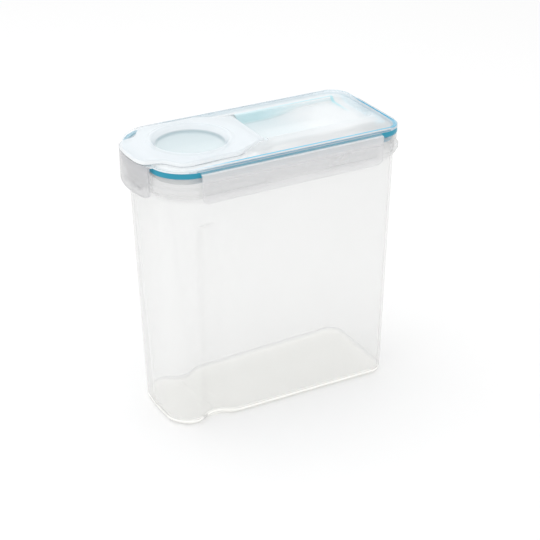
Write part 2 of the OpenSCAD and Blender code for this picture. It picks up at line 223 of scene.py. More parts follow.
def turned(name: str, profile: Sequence[Point], x: float, steps: int = 128) -> Piece:
    """A solid turned about an upright axis in the middle plane.

    Args:
        name: the object's name.
        profile: (radius, height) points, from the axis and back to it, or a closed loop off the axis.
        x: the axis along X.
        steps: how many steps round.

    Returns:
        The new object.
    """
    solid = profile[0][0] == 0
    bm = bmesh.new()
    columns = []
    for k in range(steps):
        a = 2 * math.pi * k / steps
        columns.append([bm.verts.new(((x + r * math.cos(a)) * MM, r * math.sin(a) * MM, z * MM))
                        for r, z in (profile[1:-1] if solid else profile)])
    ends = [bm.verts.new((x * MM, 0, profile[i][1] * MM)) for i in (0, -1)] if solid else []
    for a, b in zip(columns, columns[1:] + columns[:1]):
        for i in range(len(a) - 1 if solid else len(a)):
            j = (i + 1) % len(a)
            bm.faces.new((a[i], b[i], b[j], a[j]))
        if solid:
            bm.faces.new((ends[0], b[0], a[0]))
            bm.faces.new((ends[1], a[-1], b[-1]))
    bmesh.ops.recalc_face_normals(bm, faces=bm.faces)
    return linked(bm, name)


def rod(name: str, start: Corner, end: Corner, r: float, steps: int = 48) -> Piece:
    """A round rod between two points, used as a pin, a barrel or a bore.

    Args:
        name: the object's name.
        start: centre of the first end.
        end: centre of the last end.
        r: radius.
        steps: how many steps round.

    Returns:
        The new object.
    """
    ends = Vector(start), Vector(end)
    turn = (ends[1] - ends[0]).to_track_quat("Z", "Y")
    angles = [2 * math.pi * k / steps for k in range(steps)]
    return skin_mesh(name, [
        [tuple(centre + turn @ Vector((r * math.cos(t), r * math.sin(t), 0))) for t in angles] for centre in ends
    ])


def crossing(name: str, at: Point, half: float, r: float, steps: int = 48) -> Piece:
    """A rod that crosses the middle plane at an (x, z) point, half of it on each side."""
    return rod(name, (at[0], -half, at[1]), (at[0], half, at[1]), r, steps)


def block(name: str, low: Corner, high: Corner) -> Piece:
    """A squared solid used to add a rib or to trim another one."""
    outline = [(low[0], low[1]), (high[0], low[1]), (high[0], high[1]), (low[0], high[1])]
    return slab(name, outline, low[2], high[2])


def bake_modifiers(piece: Piece) -> None:
    """Turns a piece's modifiers into its mesh.

    Args:
        piece: the piece.
    """
    graph = bpy.context.evaluated_depsgraph_get()
    graph.update()
    mesh = bpy.data.meshes.new_from_object(piece.evaluated_get(graph))
    old = piece.data
    piece.modifiers.clear()
    piece.data = mesh
    bpy.data.meshes.remove(old)


def worked(piece: Piece, tools: Sequence[Piece], join: Join) -> Piece:
    """Works other solids into a piece and removes them.

    Args:
        piece: the piece that stays.
        tools: the solids to add, cut or keep.
        join: which of those.

    Returns:
        The same piece.
    """
    for tool in tools:
        step = piece.modifiers.new("work", "BOOLEAN")
        step.operation = join.value
        step.solver = "MANIFOLD"
        step.object = tool
        bake_modifiers(piece)
        mesh = tool.data
        bpy.data.objects.remove(tool)
        bpy.data.meshes.remove(mesh)
    return piece


def eased(piece: Piece, width: float, segments: int = 3) -> Piece:
    """Rounds a piece's sharp edges.

    Args:
        piece: the piece.
        width: the rounding's width.
        segments: steps across the rounding.

    Returns:
        The same piece.
    """
    step = piece.modifiers.new("ease", "BEVEL")
    step.width = width * MM
    step.segments = segments
    step.limit_method = "ANGLE"
    step.angle_limit = math.radians(50)
    step.use_clamp_overlap = True
    step.harden_normals = False
    bake_modifiers(piece)
    return piece


def settle(piece: Piece, name: str, body: str, node: str, slot: Slot, material: Finish) -> Piece:
    """Names, smooths and dresses a finished piece, and lets it stand for its CAD node.

    Args:
        piece: the piece.
        name: its name.
        body: the CAD body it rides on.
        node: the CAD node it stands for.
        slot: the record's material slot; not used.
        material: its material.

    Returns:
        The same piece.
    """
    mesh = piece.data
    piece.name = mesh.name = name
    mesh.materials.clear()
    mesh.materials.append(material)
    mesh.validate()
    mesh.shade_smooth()
    mesh.set_sharp_from_angle(angle=math.radians(32))
    mesh.update()
    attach(piece, body)
    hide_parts(node)
    log.info("%s: %d faces on %s", name, len(mesh.polygons), body)
    return piece


# ---------------------------------------------------------------- shared sizes


@dataclass(frozen=True)
class KeeperPlan:
    """The sizes that the pieces share, and the outlines that follow from them."""

    length: float = 243.4
    width: float = 121.0
    height: float = 258.3
    wall: float = 1.8
    side_draft: float = 9.0
    front_draft: float = 5.0
    front_bow: float = 4.1
    rim_bow: float = 1.4
    front_corner: float = 28.0
    rear_corner: float = 15.0
    rim_corner: float = 5.0
    collar_height: float = 20.2
    collar_step: float = 4.5
    collar_set: float = 1.9
    ledge_set: float = 14.2
    rim_side_set: float = 4.2
    rim_front_set: float = 13.1
    rim_rear_set: float = 3.8
    lid_skin: float = 1.8
    raised_height: float = 4.3
    gasket_height: float = 5.0
    flap_thickness: float = 1.8
    flap_height: float = 25.8
    long_flap: float = 172.0
    end_flap: float = 58.0
    front_radius: float = 75.0
    flap_mid: float = 4.6
    flange_set: float = 1.0
    gasket_set: float = 1.4
    skirt_set: float = 5.05
    tab_drop: float = 2.5
    lug_proud: float = 1.2
    lug_drop: float = 1.5
    end_lug_half: float = 17.0
    dish_set: float = 58.3
    spout_radius: float = 33.0
    pin_radius: float = 1.6

    @property
    def half_l(self) -> float:
        """Half the length."""
        return self.length / 2

    @property
    def half_w(self) -> float:
        """Half the width."""
        return self.width / 2

    @property
    def deck(self) -> float:
        """Height of the lid's flat deck."""
        return self.height - self.raised_height

    @property
    def deck_under(self) -> float:
        """Height of the deck's underside."""
        return self.deck - self.lid_skin

    @property
    def rim(self) -> float:
        """Height of the container's rim."""
        return self.deck_under - self.gasket_height

    @property
    def wall_top(self) -> float:
        """Height at which the collar leaves the wall."""
        return self.rim - self.collar_height

    @property
    def ledge(self) -> float:
        """Height of the collar's ledge."""
        return self.rim - self.ledge_set

    @property
    def rim_half(self) -> float:
        """Half width of the collar."""
        return self.half_w - self.rim_side_set

    @property
    def rim_front(self) -> float:
        """Front of the collar before its bow."""
        return -self.half_l + self.rim_front_set

    @property
    def rim_rear(self) -> float:
        """Rear of the collar."""
        return self.half_l - self.rim_rear_set

    @property
    def dish_x(self) -> float:
        """Middle of the pouring hole and of the dish."""
        return -self.half_l + self.dish_set

    @property
    def flap_top(self) -> float:
        """Height of the long flaps' upper edges."""
        return self.deck - self.tab_drop

    @property
    def flap_axis(self) -> float:
        """Height of the long flaps' hinge lines."""
        return self.flap_top - self.flap_thickness / 2

    @property
    def flap_low(self) -> float:
        """Height of the flaps' lower edges."""
        return self.flap_top - self.flap_height

    @property
    def catches(self) -> tuple[Point, Point]:
        """Middle and length of the two hooks of a long flap, and of the lugs over them."""
        return (-0.32 * self.long_flap, 56.0), (0.33 * self.long_flap, 51.0)

    def lid_outline(self, d: float) -> list[Point]:
        """The collar's outline moved out by d, anticlockwise.

        Args:
            d: how far out, negative for in.

        Returns:
            The outline.
        """
        rf, rb = self.front_corner + d, self.rear_corner + self.rim_corner + d
        near = arc(self.rim_front + self.front_corner, -self.rim_half + self.front_corner, rf, 180, 270, 24)
        start, end = near[-1], (self.rim_rear - rb + d, -self.rim_half - d)
        near += [(start[0] + (end[0] - start[0]) * k / 12, end[1]) for k in range(1, 12)]
        near += arc(self.rim_rear - rb + d, -self.rim_half + rb - d, rb, 270, 360, 20)
        half = self.rim_half - self.front_corner
        front = [(self.rim_front - d, half * (1 - 2 * k / 16)) for k in range(1, 16)]
        return bowed(near + far_side(near) + front, self.front_bow + self.rim_bow, self.rim_half + d,
                     self.rim_front + self.front_corner)

    def lid_rings(self, section: Sequence[Point], base: float, d: float = 0.0) -> list[Ring]:
        """Rings of a section carried round the lid.

        Args:
            section: (out, up) points.
            base: the height that up is counted from.
            d: how far inside the collar's outline the section is set.

        Returns:
            The rings.
        """
        return [level(self.lid_outline(out - d), base + up) for out, up in section]

    def tray(self, f: float, b: float, h: float, r: float) -> list[Point]:
        """An outline with a square front and rounded rear corners.

        Args:
            f: front.
            b: rear.
            h: half width.
            r: rear corner radius.

        Returns:
            The outline, the same on both sides of the middle.
        """
        near = [(f + (b - r - f) * k / 16, -h) for k in range(16)] + arc(b - r, -h + r, r, 270, 360, 16)
        return near + far_side(near)


# ---------------------------------------------------------------- container


@dataclass
class Container:
    """The tall moulded container with a finger groove in each long side.

    The table underside holds (how far in past the edge's rounding, share of the recess).
    """

    plan: KeeperPlan
    bottom_edge: float = 6.0
    edge_steps: int = 8
    floor_thickness: float = 2.0
    grip_depth: float = 7.5
    grip_half_width: float = 22.0
    grip_taper: float = 9.0
    grip_drop: float = 25.0
    grip_arch: float = 20.0
    grip_set: float = 43.0
    grip_lean: float = 12.0
    foot_taper: float = 2.2
    corner_draft: float = 7.0
    collar_corner: float = 2.0
    recess: float = 1.0
    underside: Table = ((7.4, 1.0), (6.2, 0.9), (5.6, 0.3), (5.0, 0.0))
    lug_rise: float = 4.0
    lug_root: float = 2.2

    @property
    def wall_front(self) -> float:
        """Front of the wall under the collar."""
        return self.plan.rim_front + self.plan.collar_step - self.plan.rim_bow

    @property
    def wall_half(self) -> float:
        """Half width of the wall under the collar."""
        return self.plan.rim_half - self.plan.collar_step

    @property
    def wall_rear(self) -> float:
        """Rear of the wall under the collar."""
        return self.plan.rim_rear - self.plan.collar_step

    def grip_at(self, z: float) -> float:
        """Depth of the finger groove at a height.

        Args:
            z: the height.

        Returns:
            The depth, none above the groove's arch.
        """
        arch = self.plan.wall_top - self.grip_drop
        shoulder = arch - self.grip_arch
        if z >= arch:
            return 0.0
        if z <= shoulder:
            return self.grip_depth
        return self.grip_depth * math.sqrt(max(0.0, 1 - ((z - shoulder) / self.grip_arch) ** 2))

    def loop(
        self, f: float, b: float, hf: float, hb: float, rf: float, rb: float, bow: float,
        gx: float, gw: float, gd: float,
    ) -> list[Point]:
        """A closed outline of the wall.

        Args:
            f: front before its bow.
            b: rear.
            hf: half width at the front.
            hb: half width at the rear.
            rf: front corner radius.
            rb: rear corner radius.
            bow: how far the front bows out.
            gx: middle of the finger groove.
            gw: half width of the groove.
            gd: depth of the groove.

        Returns:
            The outline, anticlockwise.
        """

        def half(x: float) -> float:
            """Half width at x.

            Args:
                x: the place along X.

            Returns:
                Half the width there.
            """
            if x < f + rf:
                return hf - rf + math.sqrt(max(0.0, rf * rf - (f + rf - x) ** 2))
            return hf + (hb - hf) * (x - f - rf) / (b - f - rf)

        def bump(u: float) -> float:
            """Share of the groove's depth at u."""
            return 0.0 if abs(u) >= 1 else (1 + math.cos(math.pi * u)) / 2

        turn = 268.5 - math.degrees(math.asin(max(0.0, min(1.0, (f + rf - gx + gw) / rf))))
        near = arc(f + rf, -hf + rf, rf, 180, turn, 18)
        near += [(gx + gw * u, -half(gx + gw * u) + gd * bump(u)) for u in (-1 + 2 * i / 40 for i in range(41))]
        start = gx + gw
        near += [(x, -half(x)) for x in (start + (b - rb - start) * k / 10 for k in range(1, 10))]
        near += arc(b - rb, -hb + rb, rb, 270, 360, 14)
        front = [(f, (hf - rf) * (1 - k / 8)) for k in range(1, 16)]
        return bowed(near + far_side(near) + front, bow, hf, f + rf)

    def wall_at(self, z: float, d: float) -> list[Point]:
        """The wall's outline at a height, moved in.

        Args:
            z: the height.
            d: how far in.

        Returns:
            The outline, anticlockwise.
        """
        p = self.plan
        t = min(1.0, z / p.wall_top)
        lean = 1 - t
        taper = self.foot_taper * lean
        f = self.wall_front + p.front_draft * lean + d
        h = self.wall_half - p.side_draft * lean - d
        ease = min(d, self.bottom_edge)
        fade = max(0.0, 1 - max(0.0, d - p.wall) / 8)
        return self.loop(
            f, self.wall_rear - d, h - taper, h + taper, p.front_corner - self.corner_draft * lean - ease,
            p.rear_corner - ease, p.front_bow, self.wall_front + self.grip_set - self.grip_lean * t,
            self.grip_half_width - self.grip_taper * t, self.grip_at(z) * fade,
        )

    def collar_at(self, d: float) -> list[Point]:
        """The collar's outline, moved out from the wall by d.

        Args:
            d: how far out.

        Returns:
            The outline, anticlockwise.
        """
        p = self.plan
        s = d / p.collar_step
        return self.loop(
            self.wall_front + (p.rim_front - self.wall_front) * s, self.wall_rear + d, self.wall_half + d,
            self.wall_half + d, p.front_corner + self.collar_corner * s, p.rear_corner + p.rim_corner * s,
            p.front_bow + p.rim_bow * s, self.wall_front + (self.grip_set - self.grip_lean),
            self.grip_half_width - self.grip_taper, 0.0,
        )

    def shell_rings(self) -> list[Ring]:
        """Rings from the recessed underside up the outside, over the rim and down to the floor inside.

        Returns:
            The rings in order.
        """
        p, e = self.plan, self.bottom_edge
        quarter = [math.radians(90 * k / self.edge_steps) for k in range(self.edge_steps + 1)]
        rings = [level(self.wall_at(0, e + inward), self.recess * share) for inward, share in self.underside]
        rings += [level(self.wall_at(e * k / self.edge_steps, e * (1 - math.sin(a))), e * (1 - math.cos(a)))
                  for k, a in enumerate(quarter)]
        arch = self.grip_drop + self.grip_arch
        heights = [e + (p.wall_top - (arch + 3) - e) * k / 16 for k in range(1, 17)]
        heights += [p.wall_top - arch + self.grip_arch * math.sin(math.radians(90 * k / 12)) for k in range(13)]
        heights += [p.wall_top - 20, p.wall_top - 10, p.wall_top - 1]
        rings += [level(self.wall_at(z, 0), z) for z in heights]
        low, led, top, step = p.wall_top, p.ledge, p.rim, p.collar_step
        band = step - p.collar_set
        inner = band - p.wall
        collar = [
            (low, 0), (low + 0.9, 0.35), (low + 2.2, 1.9), (low + 3.4, 2.7), (led - 0.9, 3.2), (led - 0.3, 3.6),
            (led, 4.15), (led + 0.35, step), (led + 3.5, step), (led + 3.9, step - 0.3), (led + 4.3, band + 0.7),
            (led + 4.7, band + 0.1), (led + 5.1, band), (top - 0.7, band), (top - 0.2, band - 0.15),
            (top, band - 0.5), (top, band - 1.3), (top - 0.25, band - 1.7), (top - 0.7, inner), (led + 0.8, inner),
            (led - 0.6, inner), (low + 3.0, 0.45), (low + 1.8, -1.2), (low + 0.6, -p.wall),
        ]
        rings += [level(self.collar_at(d), z) for z, d in collar]
        rings += [level(self.wall_at(z, p.wall), z) for z in reversed(heights)]
        floor, r = self.recess + self.floor_thickness, e - p.wall
        rings += [level(self.wall_at(e, p.wall + r * (1 - math.sin(a))), floor + r * (1 - math.cos(a)))
                  for a in reversed(quarter)]
        return rings

    def lugs(self) -> list[Piece]:
        """The six lugs round the collar: two on each long side and one on each end.

        Returns:
            Four blocks, and one solid with both end lugs.
        """
        p = self.plan
        low, high = p.ledge - p.lug_drop, p.ledge + self.lug_rise
        lugs: list[Piece] = []
        for x, size in p.catches:
            for s in (-1, 1):
                y0, y1 = sorted((s * (p.rim_half + p.lug_proud), s * (p.rim_half - self.lug_root)))
                lug = block("lug", (p.flap_mid + x - size / 2, y0, low), (p.flap_mid + x + size / 2, y1, high))
                lugs.append(eased(lug, 0.45))
        ring = worked(slab("end_lugs", p.lid_outline(p.lug_proud), low, high),
                      [slab("inner", p.lid_outline(-self.lug_root), low - 1.5, high + 2)], Join.CUT)
        span = block("span", (-p.half_l, -p.end_lug_half, low - 2.5), (p.half_l, p.end_lug_half, high + 4))
        return lugs + [worked(ring, [span], Join.KEEP)]

    def build(self, material: Finish) -> Piece:
        """Makes the container of a material."""
        shell = worked(skin_mesh("container_shell", self.shell_rings()), self.lugs(), Join.ADD)
        return settle(shell, "container_shell", "container", "container", Slot.CONTAINER, material)


# ---------------------------------------------------------------- lid and seals


@dataclass
class Lid:
    """The lid: flange, deck, raised rear section, basin, skirt and hinge sockets.

    Tables: raised_profile holds (height, rear, how far in, rear corner, share of the skin), basin_profile
    (share of the depth, rear, side, rear corner), and each section (out, up) points.
    """

    plan: KeeperPlan
    cap: "FlipCap"
    skirt: float = 11.0
    raised_front: float = -37.0
    raised_rear: float = 14.2
    raised_side: float = 6.0
    raised_profile: Table = (
        (0.0, 5.1, 0.0, 14.0, 0.7), (0.2, 5.0, 0.7, 14.0, 0.75), (0.55, 4.6, 1.9, 14.0, 0.8),
        (1.0, 4.1, 3.3, 14.0, 0.9), (1.7, 3.3, 5.6, 13.5, 1.0), (2.4, 2.5, 8.0, 13.0, 1.0),
        (3.05, 1.7, 11.2, 12.5, 1.0), (3.6, 1.0, 15.1, 12.0, 1.0), (4.0, 0.45, 17.9, 11.4, 1.0),
        (4.2, 0.15, 19.1, 11.1, 1.0), (4.3, -0.35, 20.1, 10.8, 1.0),
    )
    basin_half: float = 28.6
    basin_front: float = 5.8
    basin_rear: float = 18.0
    basin_corner: float = 11.0
    basin_deep: float = 8.5
    basin_shallow: float = 4.0
    basin_profile: Table = (
        (1.0, -3.4, -4.6, 17.0), (0.985, -2.6, -3.6, 16.6), (0.9, -1.8, -2.6, 16.0), (0.6, -1.0, -1.4, 14.5),
        (0.25, -0.4, -0.5, 12.5), (0.08, -0.12, -0.15, 11.4),
    )
    ramp_start: float = 22.0
    ramp_length: float = 41.0
    swing_radius: float = 6.6
    swing_half: float = 32.9
    bead_section: Table = (
        (-0.8, -0.4), (-0.9, 0.2), (-1.15, 0.55), (-1.75, 0.7), (-2.35, 0.55), (-2.6, 0.2), (-2.7, -0.4),
    )
    pocket_set: float = 1.2
    boss_half: float = 3.5
    tab_set: float = 0.1
    flap_gap: float = 0.1
    front_gap: float = 0.4

    def raised(self, d: float) -> list[Ring]:
        """Rings over the raised section, each moved in by d.

        Args:
            d: how far in.

        Returns:
            The rings, from the lowest up.
        """
        p = self.plan
        front, rear, side = self.raised_front + 2 * d, p.half_l - self.raised_rear, p.rim_half - self.raised_side
        _, back, _, r, _ = self.raised_profile[0]
        rings = [level(p.tray(front, rear + back - d, side - d, r), p.deck_under - 0.02)]
        for z, back, inward, r, share in self.raised_profile:
            outline = p.tray(front + inward * 0.5, rear + back - d, side - inward - d, r)
            rings.append(level(outline, p.deck + z - d * share))
        return rings

    def basin_floor(self, x: float) -> float:
        """Height of the basin's floor at x, with a soft start and end to its ramp.

        Args:
            x: the place along X.

        Returns:
            The floor's height there.
        """
        t = min(1.0, max(0.0, (x - self.ramp_start) / self.ramp_length))
        t = t * t * (3 - 2 * t)
        return self.plan.height - self.basin_deep + (self.basin_deep - self.basin_shallow) * t

    def basin(self, d: float) -> Piece:
        """The basin's inside, grown by d all round and down.

        Args:
            d: how much larger.

        Returns:
            The solid.
        """
        p = self.plan
        front, rear, half = self.cap.pin[0] - self.basin_front - d, p.half_l - self.basin_rear, self.basin_half
        rings = []
        for share, back, side, r in self.basin_profile:
            ring = p.tray(front, rear + back + d, half + side + d, r)
            rings.append([(x, y, p.height - d * max(share, 0.5) - (p.height - self.basin_floor(x)) * share)
                          for x, y in ring])
        if d > 0:
            rings.append(level(p.tray(front, rear + d, half + d, self.basin_corner), p.height - 0.3))
        else:
            for z, out in ((-0.05, 0.1), (0.08, 0.35), (0.2, 0.9), (4.0, 0.9)):
                outline = p.tray(front, rear + out, half + out, self.basin_corner + out)
                rings.append(level(outline, p.height - 0.15 + z))
        return skin_mesh("basin", rings, facing=True)

    def trough(self, d: float) -> Piece:
        """The round trough that the cap's rear edge swings down into, grown by d."""
        return crossing("trough", self.cap.pin, self.swing_half + d, self.swing_radius + d, 72)

    def web(
        self, span: tuple[float, float], edge: float, reach: float, side: int = -1, turned_in: bool = False
    ) -> Piece:
        """A tab that slopes from the flange down to a flap's hinge line.

        Args:
            span: where it starts and ends along its flap.
            edge: the flange's edge.
            reach: the tab's outer end.
            side: which side of the middle it lies on.
            turned_in: whether it lies across the rear.

        Returns:
            The solid.
        """
        p = self.plan
        top, low = p.flap_top, p.flap_top - p.lid_skin
        face = [
            (edge - 2.9, p.deck_under), (edge - 2.9, p.deck), (edge - 0.4, p.deck), (edge + 0.1, p.deck - 0.12),
            (reach - 0.55, top + 0.3), (reach - 0.2, top - 0.02), (reach, top - 0.4), (reach, low + 0.2),
            (reach - 0.2, low), (reach - 1, low), (edge, p.deck_under - 0.4), (edge, p.deck_under),
        ]
        return skin_mesh("web", [
            [(d, end, z) if turned_in else (end, side * d, z) for d, z in face] for end in span
        ])

    def front_tab(self) -> Piece:
        """The level tab over the front flap, bowed in plan.

        Returns:
            The solid.
        """
        p = self.plan
        bow = p.front_radius - p.flap_thickness - self.front_gap
        disc = turned("bowed", [(0, p.deck_under), (bow, p.deck_under), (bow, p.deck - 0.5),
                                (bow - 0.15, p.deck - 0.15), (bow - 0.5, p.deck), (0, p.deck)],
                      p.front_radius - p.half_l, 360)
        return worked(disc, [block("front", (-p.half_l, -p.end_flap / 2, p.deck_under - 1),
                                   (-p.half_l + 16, p.end_flap / 2, p.deck + 1))], Join.KEEP)

    def tabs(self) -> list[Piece]:
        """The four tabs that carry the flaps.

        Returns:
            The near, far, rear and front tabs.
        """
        p = self.plan
        fit, edge = p.flap_thickness + self.flap_gap, p.flange_set
        long_span = (p.flap_mid - p.long_flap / 2, p.flap_mid + p.long_flap / 2)
        tabs = [self.web(long_span, p.rim_half - edge - self.tab_set, p.half_w - fit, side) for side in (-1, 1)]
        tabs.append(self.web((-p.end_flap / 2, p.end_flap / 2), p.rim_rear - edge - self.tab_set, p.half_l - fit,
                             turned_in=True))
        return tabs + [self.front_tab()]

    def flange(self) -> Piece:
        """The deck with a rounded outer edge.

        Returns:
            The solid that the rest of the lid is worked into.
        """
        p = self.plan
        section = [(-0.35, p.deck_under), (-0.1, p.deck_under + 0.2), (0.0, p.deck_under + 0.5), (0.0, p.deck - 0.6),
                   (-0.18, p.deck - 0.2), (-0.5, p.deck - 0.04), (-0.85, p.deck)]
        return skin_mesh("lid_shell", p.lid_rings(section, 0.0, p.flange_set))

    def bead(self) -> Piece:
        """The rounded bead that runs round the deck."""
        rings = self.plan.lid_rings(self.bead_section, self.plan.deck, self.plan.flange_set)
        return skin_mesh("rib", rings, looped=True)

    def skirt_ring(self) -> Piece:
        """The skirt that reaches down inside the container's mouth.

        Returns:
            The solid.
        """
        out, deep = -self.plan.skirt_set, -self.skirt
        section = [(out, 0.5), (out, deep + 1.2), (out - 0.4, deep), (out - 1.3, deep), (out - 1.8, deep + 0.8),
                   (out - 1.8, 0.5)]
        return skin_mesh("skirt", self.plan.lid_rings(section, self.plan.deck_under), looped=True)

    def mouth(self) -> tuple[Piece, Piece]:
        """The collar round the pouring hole, and the hole itself.

        Returns:
            The collar and the hole.
        """
        p = self.plan
        r, under = p.spout_radius, p.deck_under - 3.6
        collar = turned("mouth", [(0, under), (r + 1.5, under), (r + 1.8, p.deck_under - 3.2),
                                  (r + 1.8, p.deck - 0.3), (0, p.deck - 0.3)], p.dish_x)
        hole = turned("hole", [(0, p.deck_under - 10), (r, p.deck_under - 10), (r, p.deck - 0.4),
                               (r + 0.15, p.deck - 0.1), (r + 0.5, p.deck + 0.1), (0, p.deck + 0.1)], p.dish_x)
        return collar, hole

    def build(self, material: Finish) -> Piece:
        """Makes the lid.

        Args:
            material: its material.

        Returns:
            The piece.
        """
        p, cap, skin = self.plan, self.cap, self.plan.lid_skin
        px, pz = cap.pin
        lid = self.flange()
        raised = worked(skin_mesh("raised", self.raised(0.0), facing=True), [self.basin(skin)], Join.ADD)
        flare = [(p.deck, 0.0), (p.height - 1.6, 0.0), (p.height - 0.9, 0.15), (p.height - 0.3, 0.6),
                 (p.height + 0.1, 1.3), (p.height + 4, 1.3)]
        pocket = [level(grown(cap.outline(), self.pocket_set + cap.gap + out), z) for z, out in flare]
        worked(raised, [skin_mesh("pocket", pocket)], Join.CUT)
        boss = cap.pin_end + skin
        trough = worked(self.trough(skin), [crossing("bosses", cap.pin, boss, p.pin_radius + skin)], Join.ADD)
        worked(trough, [block("under", (-60, -60, p.deck - 30), (60, 60, p.deck - 0.3))], Join.KEEP)
        collar, hole = self.mouth()
        worked(lid, [raised, trough, collar, self.bead(), self.skirt_ring()] + self.tabs(), Join.ADD)
        inside = [[(x, y, z - 0.04) for x, y, z in ring] for ring in self.raised(skin)]
        place = grown(cap.outline(), self.pocket_set + cap.gap + skin)
        keep = [self.basin(skin), self.trough(skin), slab("cap_place", place, p.deck_under - 1, p.height + 1)]
        for s in (-1, 1):
            y = s * (boss - self.boss_half)
            keep.append(rod("boss", (px, y - self.boss_half, pz), (px, y + self.boss_half, pz), p.pin_radius + skin))
        void = worked(skin_mesh("void", inside, facing=True), keep, Join.CUT)
        socket = crossing("socket", cap.pin, cap.pin_end + 0.4, p.pin_radius + 0.05)
        worked(lid, [void, self.basin(0.0), self.trough(0.0), hole, socket], Join.CUT)
        return settle(lid, "lid_shell", "lid", "lid", Slot.LID, material)


@dataclass
class Seals:
    """The lid's seal ring and the small ring on the cap's plug."""

    plan: KeeperPlan
    cap: "FlipCap"

    def build_lid_ring(self, material: Finish) -> Piece:
        """Makes the seal ring between lid and rim, with a rounded outer face and a lip.

        Args:
            material: its material.

        Returns:
            The piece.
        """
        p = self.plan
        top, low = p.deck_under - 0.05, p.rim
        out, inner = -p.gasket_set, 0.03 - p.skirt_set
        section = [(inner, top), (out - 0.3, top), (out - 0.1, top - 0.2), (out, top - 0.6), (out, low + 0.7),
                   (out - 0.2, low + 0.2), (out - 0.6, low), (out - 2.4, low), (out - 2.75, low + 0.5),
                   (out - 2.8, low + 2.4), (inner, low + 2.4)]
        ring = skin_mesh("lid_gasket_ring", p.lid_rings(section, 0.0), looped=True)
        return settle(ring, "lid_gasket_ring", "lid", "lid_gasket", Slot.SEAL, material)

    def build_plug_ring(self, material: Finish) -> Piece:
        """Makes the small seal ring in the plug's groove.

        Args:
            material: its material.

        Returns:
            The piece.
        """
        z, r = self.cap.plug_low + self.cap.groove_set, self.cap.plug_radius
        inner = r - self.cap.groove_depth
        section = [(inner, z), (r + 0.1, z), (r + 0.9, z + 0.5), (r + 1.32, z + 0.95), (r + 1.38, z + 1.2),
                   (r + 1.32, z + 1.45), (r + 0.9, z + 1.9), (r + 0.1, z + 2.4), (inner, z + 2.4)]
        ring = turned("spout_seal_ring", section, self.plan.dish_x)
        return settle(ring, "spout_seal_ring", "cap", "spout_seal", Slot.SEAL, material)


# ---------------------------------------------------------------- flip cap


